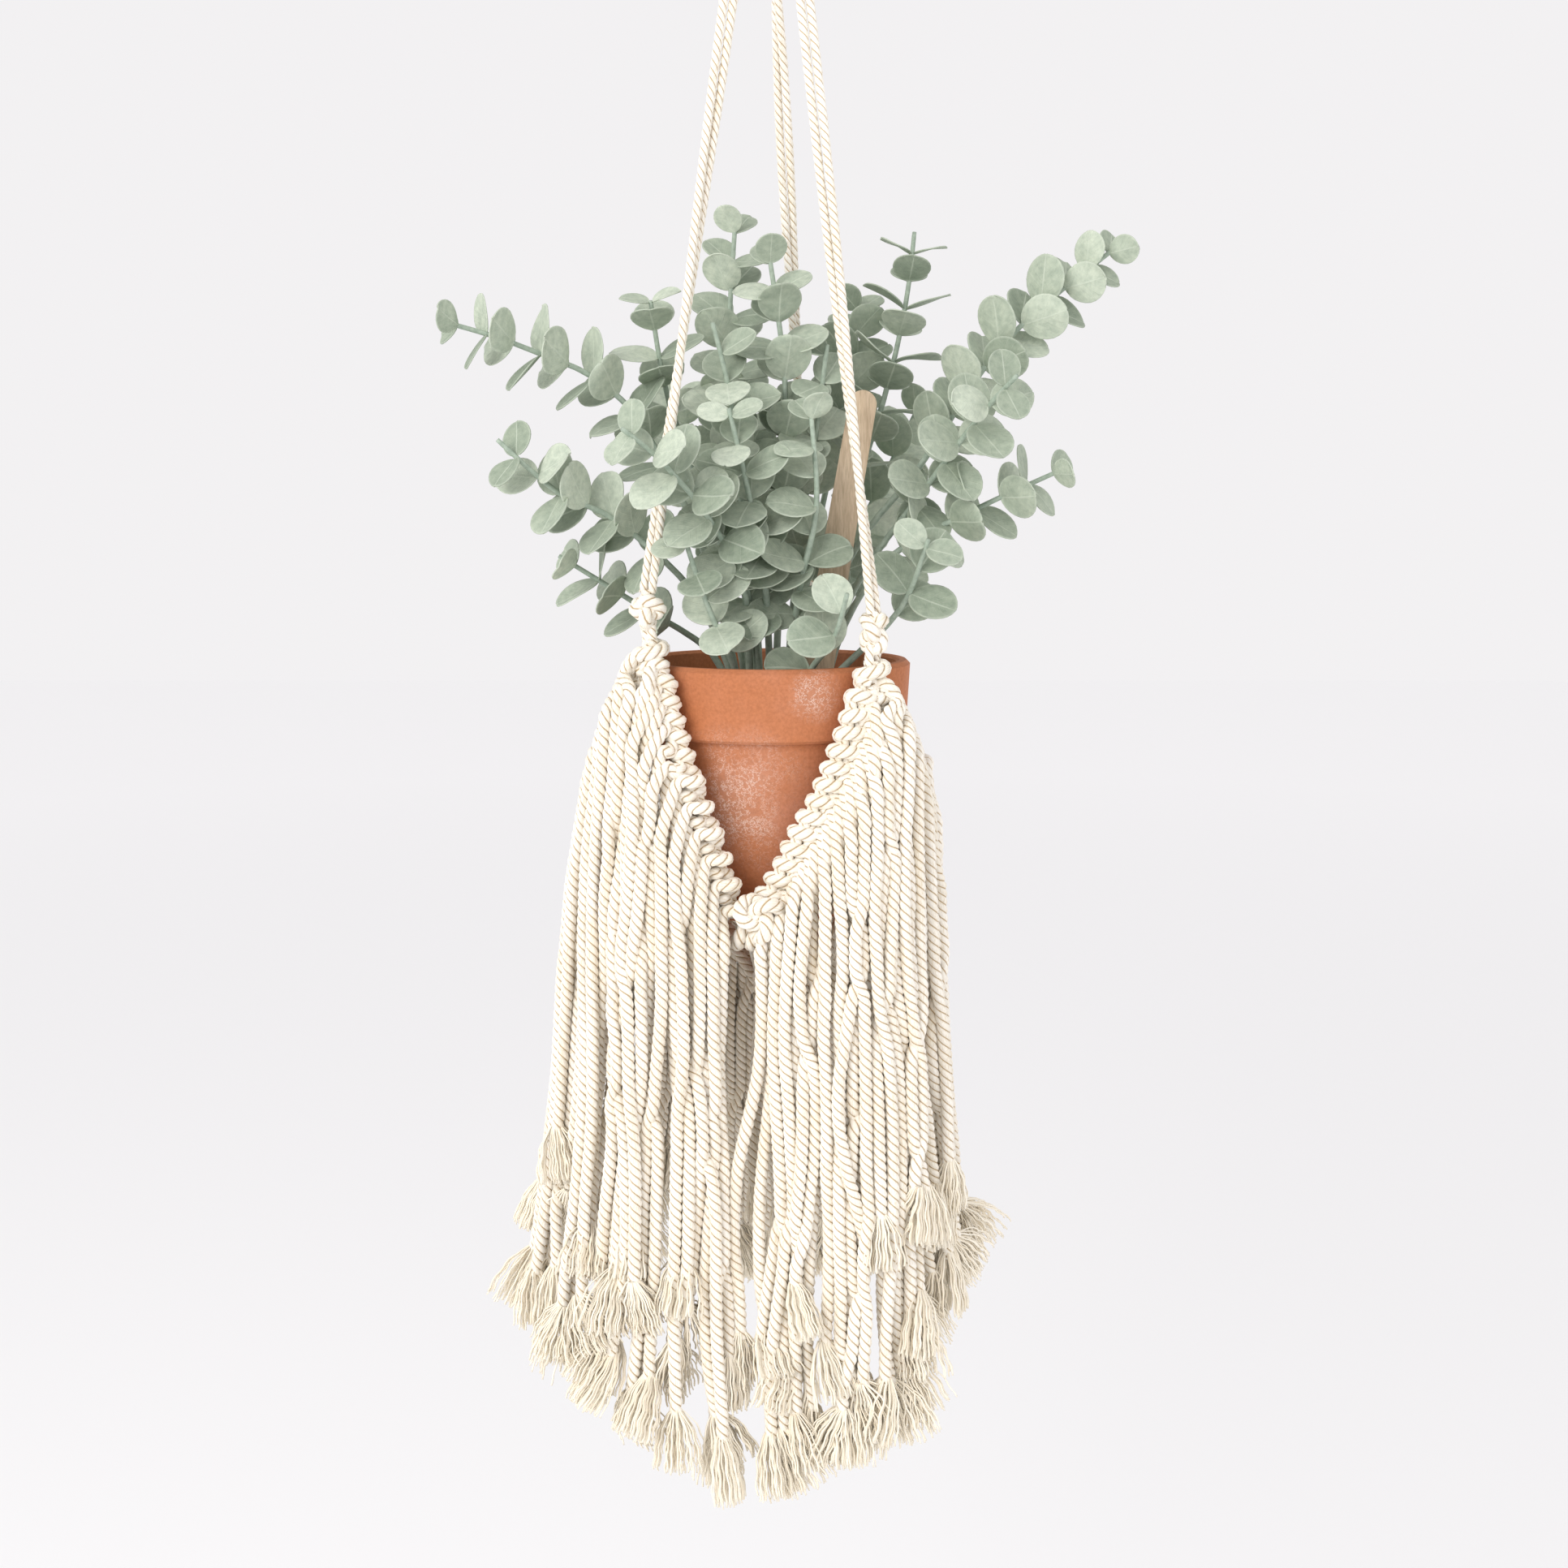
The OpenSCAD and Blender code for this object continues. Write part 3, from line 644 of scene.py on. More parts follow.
class Strand:
    """One hanging rope of the fringe, as a column of points that are shifted until none overlap."""

    def __init__(self, band, u, share):
        self.band, self.u, self.share = band, u, share
        self.top = band_height(band, u) - 2 + fringe_rise(band, u)
        azimuth = wrapped(fringe_azimuth(band, u, 1))
        self.low = -FRINGE_DROP * float(np.interp(azimuth, REACH_AZIMUTH, REACH))
        chance, most = SHORT_OUTER if share > 0.5 else SHORT_INNER
        if abs(azimuth - FULL_AZIMUTH) < FULL_HALF:
            chance *= FULL_SHARE
        cut = RNG.uniform(UNEVEN, most) if RNG.uniform() < chance else RNG.uniform(0, UNEVEN)
        self.end = min(self.low + TASSEL_LEN + cut, self.top - SHORTEST)
        self.lean = RNG.normal(0, LEAN)
        self.shift = RNG.normal(0, SHIFT)
        self.waves = [
            (RNG.uniform(*WAVE_HEIGHT), RNG.uniform(*WAVES_PER_ROPE), RNG.uniform(0, FULL_TURN))
            for _ in range(2)
        ]

    def at(self, z):
        """The strand's place at the height z over the rim before it is shifted: its azimuth, its
        distance from the axis, and the least and most that may be."""
        t = min(1.0, max(0.0, (self.top - z) / (self.top - self.low)))
        azimuth = fringe_azimuth(self.band, self.u, t)
        inner = fringe_depth(self.band, self.u, t, azimuth)
        swing = self.shift + sum(h * math.sin(FULL_TURN * f * t + p) for h, f, p in self.waves)
        side = self.lean * t**1.5 + min(1, 4 * t) * swing
        thick = FRINGE_T + 2 * t
        r = inner + STRAND_D / 2 + 0.2 + self.share * (thick - STRAND_D + 1.0)
        azimuth += math.degrees(side / r)
        return azimuth, r, inner + STRAND_D / 2, inner + thick - STRAND_D / 2 + 1.6


# The height between two levels, how close two strands may be, how strongly they push each other
# apart, keep to their own line and have their bends smoothed, and how many times
LEVEL = 8.0
CLOSEST = STRAND_D * 0.985
PUSH = 0.3
HOMING = 0.05
CALMING = 0.3
ROUNDS = 70


def settle(strands):
    """Shifts the strands apart at each height and keeps each within the fringe's thickness."""
    levels = np.arange(0, -330, -LEVEL)
    where = np.full((len(strands), len(levels), 2), np.nan)
    inner, outer = np.zeros(where.shape[:2]), np.zeros(where.shape[:2])
    for i, strand in enumerate(strands):
        for j, z in enumerate(levels):
            if strand.top - 7 >= z >= strand.end - 2 * LEVEL:
                azimuth, r, inner[i, j], outer[i, j] = strand.at(z)
                where[i, j] = polar(azimuth, r, 0)[:2]
    home = where.copy()
    for _ in range(ROUNDS):
        for j in range(len(levels)):
            live = np.flatnonzero(~np.isnan(where[:, j, 0]))
            p = where[live, j]
            gap = p[:, None, :] - p[None, :, :]
            far = np.linalg.norm(gap, axis=-1) + np.eye(len(live)) * 99
            close = np.clip(CLOSEST - far, 0, None)
            push = (gap / far[..., None] * close[..., None] * PUSH).sum(axis=1)
            p = p + push + (home[live, j] - p) * HOMING
            r = np.linalg.norm(p, axis=1)
            where[live, j] = p * (np.clip(r, inner[live, j], outer[live, j]) / r)[:, None]
        calm = (where[:, :-2] + 2 * where[:, 1:-1] + where[:, 2:]) / 4
        known = ~np.isnan(calm[..., 0])
        where[:, 1:-1][known] += CALMING * (calm[known] - where[:, 1:-1][known])
    return levels, where


def band_frame(b, u):
    """The directions at a band's middle: along it, up across it towards the pot's rim, and out."""
    along = unit(band_point(b, min(1, u + 0.02)) - band_point(b, max(0, u - 0.02)))
    outward = band_point(b, u) * (1, 1, 0)
    across = unit(np.cross(along, outward))
    across = across * math.copysign(1, across[2])
    return along, across, unit(outward)


def strand_start(strand):
    """A strand leaves the lower edge of the right front band. On the other bands it comes over
    their upper edge in an arch, every second one higher, and beside a crown it starts there."""
    _, across, out = band_frame(strand.band, strand.u)
    middle = band_point(strand.band, strand.u)
    rise = fringe_rise(strand.band, strand.u)
    if rise > 0:
        s = SHOULDERS[strand.band[1]]
        crown = polar(s[1], CROWN_R, CROWN_TOP[strand.band[1]] - 5)
        near = min(1.0, rise / 12)
        first = middle + (crown - middle) * near
        second = first + (middle - crown) * 0.25 + out * 5.0 + (0, 0, 1.5)
        return [first, second, middle + out * 7.6 + (0, 0, 0.5 * rise - 3)]
    reach = HITCH_REACH.get(strand.band[0], HITCH_REACH_ELSEWHERE)
    if strand.band[0] == "right_front":
        steps = [(-0.2, 0.8), (-0.95, 3.6)]
    elif strand.share > 0.5:
        steps = [(0.5, 0.0), (2.1, 2.8), (1.9, 6.4), (0.2, 8.4)]
    else:
        steps = [(0.2, 1.0), (0.6, 5.2), (-0.6, 6.4)]
    return [middle + across * (reach * up) + out * depth for up, depth in steps]


def strand_line(strand, levels, where):
    """The strand's line from inside its band down to where it frays."""
    known = np.flatnonzero(~np.isnan(where[:, 0]))
    points = strand_start(strand) + [np.array([*where[j], RIM_Z + levels[j]]) for j in known]
    line = even(smooth(points, 6), 1.0)
    return line[line[:, 2] >= RIM_Z + strand.end]


# Strands that fill thin places in the back: band, share of its length, share of the thickness
MORE_STRANDS = [("back_left", 0.395, 0.5), ("back_left", 0.34, 0.4)]


def fringe_strands():
    strands = [Strand(b, 0.005, 0.05) for b in BANDS]
    for b in BANDS:
        for i in range(STRANDS[b[0]]):
            u = (i + 0.5) / STRANDS[b[0]]
            share = 0.15 + 0.7 * (i % 2) + RNG.uniform(-0.15, 0.15)
            strands.append(Strand(b, u, share))
    for name, u, share in MORE_STRANDS:
        strands.append(Strand(next(b for b in BANDS if b[0] == name), u, share))
    return strands


def hang_fringe():
    """Lays every fringe rope. The lowest ones of each band, each with its tassel, are made as
    meshes of their own.
    """
    strands = fringe_strands()
    levels, where = settle(strands)
    for b in BANDS:
        rest = Bunch()
        mine = [i for i, strand in enumerate(strands) if strand.band is b]
        lowest = sorted(mine, key=lambda i: strands[i].end)[:DECLARED_PER_BAND]
        for order, i in enumerate(mine):
            line = strand_line(strands[i], levels, where[i])
            end_way = line[-1] - line[-12] + RNG.normal(0, 3.6, 3) * np.array([1, 1, 0])
            declared = i in lowest
            bunch = Bunch() if declared else rest
            ends = Bunch() if declared else rest
            path = lay_rope(bunch, line, STRAND_D)
            length, spread = TASSEL_LEN * RNG.uniform(0.9, 1.1), RNG.uniform(0.25, 0.38)
            fray(ends, path[-1], end_way, length, spread)
            if not declared:
                continue
            name = f"{b[0]}_strand_{order + 1}"
            piece = bunch.make(name, *HANGER_LOOK, [f"{b[0]}_fringe"])
            tassel = ends.make(f"{name}_tassel", *HANGER_LOOK, [f"{b[0]}_fringe"])
        rest.make(f"{b[0]}_strands", *HANGER_LOOK, [f"{b[0]}_fringe"])


suspension_ropes()
hang_fringe()

# ---- Knots, bands, slings ----


def knot_line(middle, out, size, flat):
    """A closed overhand knot that faces outwards: its size across and up, and how deep it is."""
    out = unit(out)
    side = unit(np.cross((0, 0, 1), out))
    up = np.array([0, 0, 1.0])
    t = np.linspace(0, 2 * math.pi, 120)
    x = (np.sin(t) + 2 * np.sin(2 * t)) / 3
    y = (np.cos(t) - 2 * np.cos(2 * t)) / 3
    z = -np.sin(3 * t)
    return (
        middle + size[0] * x[:, None] * side + size[1] * y[:, None] * up + flat * z[:, None] * out
    )


# Half the size of each shoulder knot, across and up
KNOT_SIZE = {"left": (4.4, 4.9), "right": (3.3, 6.0), "back": (4.2, 4.8)}
KNOT_DEEP = 2.7
KNOT_ROPE_D = 5.0


def tie_shoulders():
    for s in SHOULDERS:
        middle = shoulder(s)
        bunch = Bunch()
        knot = knot_line(middle, middle * (1, 1, 0), KNOT_SIZE[s[0]], KNOT_DEEP)
        lay_rope(bunch, knot, KNOT_ROPE_D)
        core = [middle + (0, 0, KNOT_H / 2), middle - (0, 0, KNOT_H / 2)]
        lay_rope(bunch, core, KNOT_ROPE_D)
        bunch.make(f"{s[0]}_knot", *HANGER_LOOK, [f"{s[0]}_shoulder_knot"])


def make_necks():
    for i, s in enumerate(SHOULDERS):
        top = shoulder(s) - (0, 0, KNOT_H / 2 - 2)
        low = polar(s[1], CROWN_R, CROWN_TOP[i] - 3)
        bunch = Bunch()
        for k in (0, 1):
            f = np.linspace(0, 1, 12)
            a = math.radians(180 * k) + 0.9 * f
            side = np.cos(a)[:, None] * side_way(s[1]) + np.sin(a)[:, None] * np.array([0, 1.0, 0])
            lay_rope(bunch, top + f[:, None] * (low - top) + 1.7 * side, ROPE_D * 1.1)
        bunch.make(f"{s[0]}_neck_ropes", *HANGER_LOOK, [f"{s[0]}_neck"])


CROWN_HITCH_R = 4.4
CROWN_HITCH_PITCH = 5.2
CROWN_HITCH_D = 5.2
CORE_D = 6.0


def tie_crowns():
    """The top hitch of each cradle corner lies level round the ropes; the bands start under it."""
    for i, s in enumerate(SHOULDERS):
        top = polar(s[1], CROWN_R, CROWN_TOP[i] - 2.6)
        bunch = Bunch()
        turns = wound([top, top - (0, 0, 5.6)], CROWN_HITCH_R, CROWN_HITCH_PITCH, 1.0 + i)
        lay_rope(bunch, turns, CROWN_HITCH_D)
        lay_rope(bunch, [top + (0, 0, 1.5), top - (0, 0, CROWN_H - 4)], CORE_D)
        bunch.make(f"{s[0]}_crown_hitches", *HANGER_LOOK, [f"{s[0]}_crown"])


HITCH_PITCH = 6.4
HITCH_D = 5.4
HITCH_DEEP = 2.4
FILLER_D = 4.8


def hitches(line, wide, start, hand):
    """The line of a rope that winds round a band: wide across the band, and less deep where it
    lies on the pot."""
    p = even(line, HITCH_PITCH / 22)
    t, _, _ = crosswise(p)
    out = p * (1, 1, 0)
    across = np.cross(t, out)
    across /= np.linalg.norm(across, axis=1)[:, None]
    outward = np.cross(across, t)
    s = lengths(p)
    a = start + hand * 2 * math.pi * s / HITCH_PITCH
    swell = 1 + 0.1 * np.cos(1.3 * s / HITCH_PITCH + start)
    sideways = (wide * swell * np.cos(a))[:, None] * across
    return p + sideways + (HITCH_DEEP * np.sin(a))[:, None] * outward


def tie_bands():
    """A row of hitches: the working ropes wind round the filler ropes."""
    for n, b in enumerate(BANDS):
        crown = polar(SHOULDERS[b[1]][1], CROWN_R, CROWN_TOP[b[1]] - 9)
        line = smooth([crown] + [band_point(b, u) for u in np.linspace(0, 1, 24)])
        bunch = Bunch()
        hand = 1 if band_turn(b) > 0 else -1
        wide = HITCH_REACH.get(b[0], HITCH_REACH_ELSEWHERE)
        lay_rope(bunch, hitches(line, wide, n, hand), HITCH_D)
        for shift in (-0.5 * wide, 0.5 * wide):
            side = side_way(SHOULDERS[b[1]][1] + 0.5 * band_turn(b))
            lay_rope(bunch, line + shift * side, FILLER_D)
        bunch.make(f"{b[0]}_hitches", *HANGER_LOOK, [f"{b[0]}_band"])


# The ball at a V: how far it stands out, to the side and up, half its size, and how deep it is
BALL_OUT = 11.5
BALL_SIDE = 7
BALL_UP = 4.0
BALL_SIZE = (7.2, 7.4)
BALL_DEEP = 3.4
BALL_ROPE_D = 5.4
VEE_WRAP_R = 3.0
VEE_WRAP_PITCH = 4.8
VEE_WRAP_D = 5.0


def tie_vees():
    """Where two bands meet, one rope is knotted into a ball and another wraps the ends below it."""
    for v in VEES:
        middle = polar(v[1], float(band_radius(-v[2])), -v[2] - 1)
        out = unit([middle[0], middle[1], 0])
        side = side_way(v[1])
        ball = middle + out * BALL_OUT + side * BALL_SIDE + (0, 0, BALL_UP)
        low = middle - side * 0.5 + out * 3.0 - (0, 0, 5.5)
        bunch = Bunch()
        lay_rope(bunch, knot_line(ball, out, BALL_SIZE, BALL_DEEP), BALL_ROPE_D)
        lay_rope(bunch, [ball + side * 4.5, ball - side * 4.5], CORE_D)
        ends = [low - side * 3, low + side * 5]
        lay_rope(bunch, wound(ends, VEE_WRAP_R, VEE_WRAP_PITCH, 1.2, -1), VEE_WRAP_D)
        bunch.make(f"{v[0]}_v_ropes", *HANGER_LOOK, [f"{v[0]}_v_knot"])


def lay_slings():
    under = -POT_H - CORD_D / 2 - 0.3
    foot_r = POT_FOOT_D / 2
    for v in VEES:
        z0 = -v[2] - 5
        r0 = float(band_radius(z0)) - 1
        stations = [
            (r0, z0),
            (foot_r + 2.8, under + 1.2),
            (foot_r - 3, under - 2.6),
            (18, under - 13),
            (6.2, 1 - BASE_KNOT_DROP),
        ]
        bunch = Bunch()
        for k in (-1, 1):
            shift = k * side_way(v[1]) * (CORD_D + 0.1) / 2
            lay_rope(bunch, smooth([polar(v[1], *q) + shift for q in stations], 8), CORD_D)
        bunch.make(f"{v[0]}_sling_ropes", *HANGER_LOOK, [f"{v[0]}_sling"])


BASE_WRAP_R = 5.4
BASE_WRAP_PITCH = 4.5
BASE_KNOT_SIZE = (6.0, 6.4)
BASE_KNOT_DEEP = 2.8
# The tails under the base knot: how many, how far they spread and sway, and their short tassels
TAILS = 6
TAIL_SPREAD = 5.0
TAIL_SWAY = 2.5
TAIL_TASSEL = 17
TAIL_FLARE = 0.16
TAIL_YARNS = 18


def tie_base():
    """The knot that gathers the slings under the pot, and the tails that hang from it."""
    middle = polar(0, 0, -BASE_KNOT_DROP)
    bunch = Bunch()
    core = [middle + (0, 0, 6), middle - (0, 0, 6)]
    lay_rope(bunch, wound(core, BASE_WRAP_R, BASE_WRAP_PITCH, 0.4), CORD_D)
    lay_rope(bunch, knot_line(middle, (0.2, -1, 0), BASE_KNOT_SIZE, BASE_KNOT_DEEP), CORD_D)
    bunch.make("base_knot_ropes", *HANGER_LOOK, ["base_knot"])
    tails = Bunch()
    for k in range(TAILS):
        length = TAIL_LEN - 7 * (k % 3) - 14
        top = polar(360 / TAILS * k, TAIL_RING_R * 0.8, -BASE_KNOT_DROP - BASE_KNOT_H / 2 + 5)
        out = unit([top[0], top[1], 0])
        f = np.linspace(0, 1, 10)[:, None]
        side = np.cross(out, (0, 0, 1))
        sway = TAIL_SWAY * np.sin(5 * f + k) * f
        line = top - (0, 0, length) * f + out * (TAIL_SPREAD * f**0.6) + side * sway
        path = lay_rope(tails, smooth(line), CORD_D)
        fray(tails, path[-1], path[-1] - path[-8], TAIL_TASSEL, TAIL_FLARE, TAIL_YARNS)
    tails.make("base_tail_ropes", *HANGER_LOOK, ["base_tails"])


def fold_ropes():
    """Three ropes folded over the ring's bar, and the rope that is wrapped round all six ends."""
    bunch = Bunch()
    for i in (-1, 0, 1):
        x = i * FOLD_PITCH
        half = [(x, -BUNDLE_Y, WRAP_LOW), (x, -BUNDLE_Y, WRAP_TOP - 1), (x, -FOLD_R, BAR_Z - 8)]
        turn = np.linspace(0, math.pi, 9)
        over = [(x, -FOLD_R * math.cos(a), BAR_Z + FOLD_R * math.sin(a)) for a in turn]
        back = [(px, -py, pz) for px, py, pz in half[::-1]]
        lay_rope(bunch, smooth(half + over + back), ROPE_D)
    bunch.make("folded_ropes", "folds", "cotton_rope", ROPE_LOOKS, ["rope_folds"])
    wrap = Bunch()
    reach = BUNDLE_R + 0.1 + ROPE_D / 2
    ends = [(0, 0, WRAP_TOP - ROPE_D / 2), (0, 0, WRAP_LOW + ROPE_D / 2)]
    lay_rope(wrap, wound(ends, reach, ROPE_D + 0.05, 0.5), ROPE_D)
    wrap.make("wrap_rope", "folds", "cotton_rope", ROPE_LOOKS, ["gathering_wrap"])


tie_shoulders()
make_necks()
tie_crowns()
tie_bands()
tie_vees()
lay_slings()
tie_base()
fold_ropes()

# ---- Leaves ----


def leaf_material():
    """Matte sage green with a paler rim and veins. A leaf's place runs from -1 to 1 across it and
    from 0 to 1 along it, and its third number is the leaf's own. Its ridge is 1 at its rim."""
    look = Look("eucalyptus_leaf")
    place = look.attribute("place", "Vector")
    edge = look.attribute("ridge", "Fac")
    across, along_leaf, own = look.split(place)[:3]
    side = look.maths("ABSOLUTE", across, None)
    slant = look.maths("MULTIPLY", side, 0.36)
    rows = look.maths("MULTIPLY", look.maths("SUBTRACT", along_leaf, slant), 6.5)
    saw = look.maths("PINGPONG", rows, 0.5)
    vein = look.ramp(saw, [(0.0, (1, 1, 1)), (0.08, (0, 0, 0))])
    rib = look.ramp(side, [(0.02, (1, 1, 1)), (0.06, (0, 0, 0))])
    rim = look.ramp(edge, [(0.90, (0, 0, 0)), (0.985, (1, 1, 1))])
    mottle = look.noise(look.place(), 380.0, 5.0, 0.65)
    tones = [(0.0, (0.285, 0.34, 0.26)), (0.5, (0.405, 0.465, 0.37)), (1.0, (0.57, 0.63, 0.52))]
    base = look.ramp(own, tones)
    dust = look.ramp(mottle, [(0.32, (0.80, 0.83, 0.82)), (0.68, (1.16, 1.14, 1.14))])
    colour = look.mixed("MULTIPLY", 1.0, base, dust)
    pale = (0.60, 0.66, 0.55)
    for mask, share in ((vein, 0.16), (rib, 0.5), (rim, 0.35)):
        colour = look.mixed("MIX", look.maths("MULTIPLY", mask, share), colour, pale)
    look.coloured(colour)
    look.roughened(mottle, (0.3, 0.58), (0.7, 0.78))
    look.plain("Specular IOR Level", 0.3)
    lines = look.maths("ADD", vein, rib)
    height = look.maths("ADD", lines, look.maths("MULTIPLY", mottle, 0.6))
    look.bumped(height, 0.4, 0.0002)
    return look.material


def stem_material():
    look = Look("eucalyptus_stem")
    spots = look.noise(look.place(), 500.0, 3.0)
    greens = [(0.3, (0.27, 0.34, 0.27)), (0.7, (0.42, 0.50, 0.41))]
    look.coloured(spots, greens)
    look.roughened(spots, (0.3, 0.5), (0.7, 0.7))
    look.bumped(spots, 0.3, 0.0002)
    return look.material


LEAF_RISE = 24.0
LEAF_FRONT = 0.7
LEAF_GROWN = 1.06
# Sprigs whose leaves turn less to the front
FACING = {
    "tall_right": 0.08, "low_left": 0.1, "far_left": 0.3, "upper_left": 0.25, "low_right": 0.35,
}
FRONT = np.array([0, -0.98, 0.2])
TIP_SHRINK = 0.6
ROPE_CLEAR = 0.9
LEAF_ACROSS = 10
LEAF_ALONG = 12
LEAF_THICK = 0.45
STEM_SIDES = 8


def reach_of(leaf, e):
    """How far a flat round leaf (middle, normal, radius) extends from its middle along e."""
    return leaf[2] * math.sqrt(max(0.0, 1 - float(leaf[1] @ e) ** 2))


def off_bar(leaf, p, q, r):
    d = q - p
    t = min(1.0, max(0.0, float((leaf[0] - p) @ d / (d @ d))))
    w = leaf[0] - (p + d * t)
    far = np.linalg.norm(w)
    if far > leaf[2] + r + 1:
        return True
    if far > 0.01 and far > reach_of(leaf, w / far) + r + ROPE_CLEAR:
        return True
    a, b = float((p - leaf[0]) @ leaf[1]), float((q - leaf[0]) @ leaf[1])
    return min(abs(a), abs(b)) > r + ROPE_CLEAR and a * b > 0


def off_ropes(leaf):
    for i, s in enumerate(SHOULDERS):
        top, low = rope_ends(s)
        crown = polar(s[1], CROWN_R, CROWN_TOP[i] - CROWN_H)
        for lift in np.linspace(0, POT_TRAVEL, 5):
            raised = (leaf[0] + (0, 0, lift), leaf[1], leaf[2])
            if not off_bar(raised, low, top, ROPE_D + 0.1):
                return False
            if not off_bar(raised, crown, low, KNOT_D / 2):
                return False
    return True


def stick_frame():
    a, b = (math.radians(q) for q in STICK_LEAN)
    axis = np.array([math.cos(a) * math.sin(b), -math.sin(a), math.cos(a) * math.cos(b)])
    wide = np.array([math.cos(b), 0, -math.sin(b)])
    return axis, wide, np.cross(axis, wide)


def off_stick(leaf):
    axis, wide, thin = stick_frame()
    c = leaf[0] - np.array([*STICK_AT_RIM, RIM_Z])
    return (
        abs(c @ wide) > reach_of(leaf, wide) + STICK_LOW_W / 2 + ROPE_CLEAR
        or abs(c @ thin) > reach_of(leaf, thin) + STICK_T / 2 + ROPE_CLEAR
        or c @ axis > STICK_ABOVE + STICK_TRAVEL + leaf[2]
    )


def off_rim(leaf):
    low = leaf[0][2] - reach_of(leaf, np.array([0, 0, 1.0]))
    inside = np.hypot(leaf[0][0], leaf[0][1]) + leaf[2] < POT_D / 2 - 7
    return low > RIM_Z + 1 or (inside and low > RIM_Z - SOIL_DROP + 0.5)


def add_leaf(bunch, base, blade, normal, r, own):
    """One leaf: nearly round, folded a little along its rib, and bowed towards its tip."""
    side = np.cross(blade, normal)
    across = np.sin(np.linspace(-math.pi / 2, math.pi / 2, LEAF_ACROSS + 1))
    along_leaf = 0.5 - 0.5 * np.cos(np.linspace(0, math.pi, LEAF_ALONG + 1))
    bow, fold = RNG.uniform(-0.15, 0.35), RNG.uniform(0.0, 0.22)
    ripple, phase = RNG.uniform(0.01, 0.06), RNG.uniform(0, FULL_TURN)
    points, place, edge = [], [], []
    for y in along_leaf:
        round_half = math.sqrt(max(0.0, 1 - (2 * y - 1) ** 2))
        half = r * max(0.06, round_half * (0.90 + 0.06 * min(1, 2 * y)))
        for x in across:
            rippled = ripple * r * math.sin(5 * y + 2.4 * x + phase)
            lift = fold * abs(x) ** 1.4 * half - bow * r * y**2 + rippled
            points.append(base + blade * (2 * r * y) + side * (x * half) + normal * lift)
            place.append((x, y, own))
            edge.append(math.hypot(x * round_half, 2 * y - 1))
    wide = LEAF_ACROSS + 1
    faces = [
        [j * wide + i, j * wide + i + 1, (j + 1) * wide + i + 1, (j + 1) * wide + i]
        for j in range(LEAF_ALONG)
        for i in range(LEAF_ACROSS)
    ]
    bunch.add(points, faces, place, edge, 0)


def add_stem(bunch, line):
    """A stem that thins towards its tip."""
    p = even(line, 2.0)
    _, u, v = crosswise(p)
    a = np.arange(STEM_SIDES) * 2 * math.pi / STEM_SIDES
    r = np.linspace(STEM_D / 2, STEM_D / 4, len(p))
    points = p[:, None, :] + r[:, None, None] * (
        np.cos(a)[None, :, None] * u[:, None, :] + np.sin(a)[None, :, None] * v[:, None, :]
    )
    place = np.zeros((len(p) * STEM_SIDES, 3))
    bunch.add(points.reshape(-1, 3), skin(len(p), STEM_SIDES), place, 1.0, 1)


def grow_sprigs():
    """Pairs of leaves stand crosswise along each stem and get smaller towards its tip."""
    looks = [leaf_material(), stem_material()]
    for name, share, first_turn, points in SPRIGS:
        line = smooth([(x, y, z + RIM_Z) for x, y, z in points])
        s = lengths(line)
        total = s[-1]
        start = share * total
        bunch = Bunch()
        add_stem(bunch, line)
        for i in range(int((total - start) / LEAF_PITCH) + 1):
            at = min(start + i * LEAF_PITCH, total - 0.5)
            k = min(int(np.searchsorted(s, at)) - 1, len(line) - 2)
            t = unit(line[k + 1] - line[k])
            foot = line[k] + t * (at - s[k])
            u = unit(np.cross((0, 1, 0), t))
            v = np.cross(t, u)
            left = (total - at) / (total - start)
            r = LEAF_GROWN * LEAF_D / 2 * (TIP_SHRINK + (1 - TIP_SHRINK) * min(1, 3 * left))
            for side in (0, 1):
                a = math.radians(first_turn + 90 * i + 180 * side)
                rise = math.radians(LEAF_RISE)
                out = u * math.cos(a) + v * math.sin(a)
                normal = t * math.cos(rise) - out * math.sin(rise)
                turned = FRONT * FACING.get(name, LEAF_FRONT)
                normal = unit(normal + turned * math.copysign(1, normal @ FRONT))
                blade = out * math.cos(rise) + t * math.sin(rise)
                blade = unit(blade - normal * (blade @ normal))
                leaf = (foot + blade * (r + STEM_D / 2 - 0.5), normal, r)
                own = RNG.uniform(0, 1)
                if off_rim(leaf) and off_ropes(leaf) and off_stick(leaf):
                    add_leaf(bunch, foot + blade * 0.6, blade, normal, r, own)
        piece = bunch.make(f"eucalyptus_{name}", "pot", "leaves", looks, [f"sprig_{name}"])
        solid = piece.modifiers.new("thickness", "SOLIDIFY")
        solid.thickness = LEAF_THICK * MM
        solid.offset = 0


grow_sprigs()

# ---- Pot, soil, stick and ring: the CAD solids with their own materials ----


def dress(node, finish):
    """Gives a CAD node a finished material."""
    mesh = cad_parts[node].data
    mesh.materials.clear()
    mesh.materials.append(finish)


# Where salt has come through the clay: the middle of each patch (mm) and its reach
SALT = [((-13, -46, -436), 33), ((16, -50, -395), 11), ((50, 10, -440), 40)]


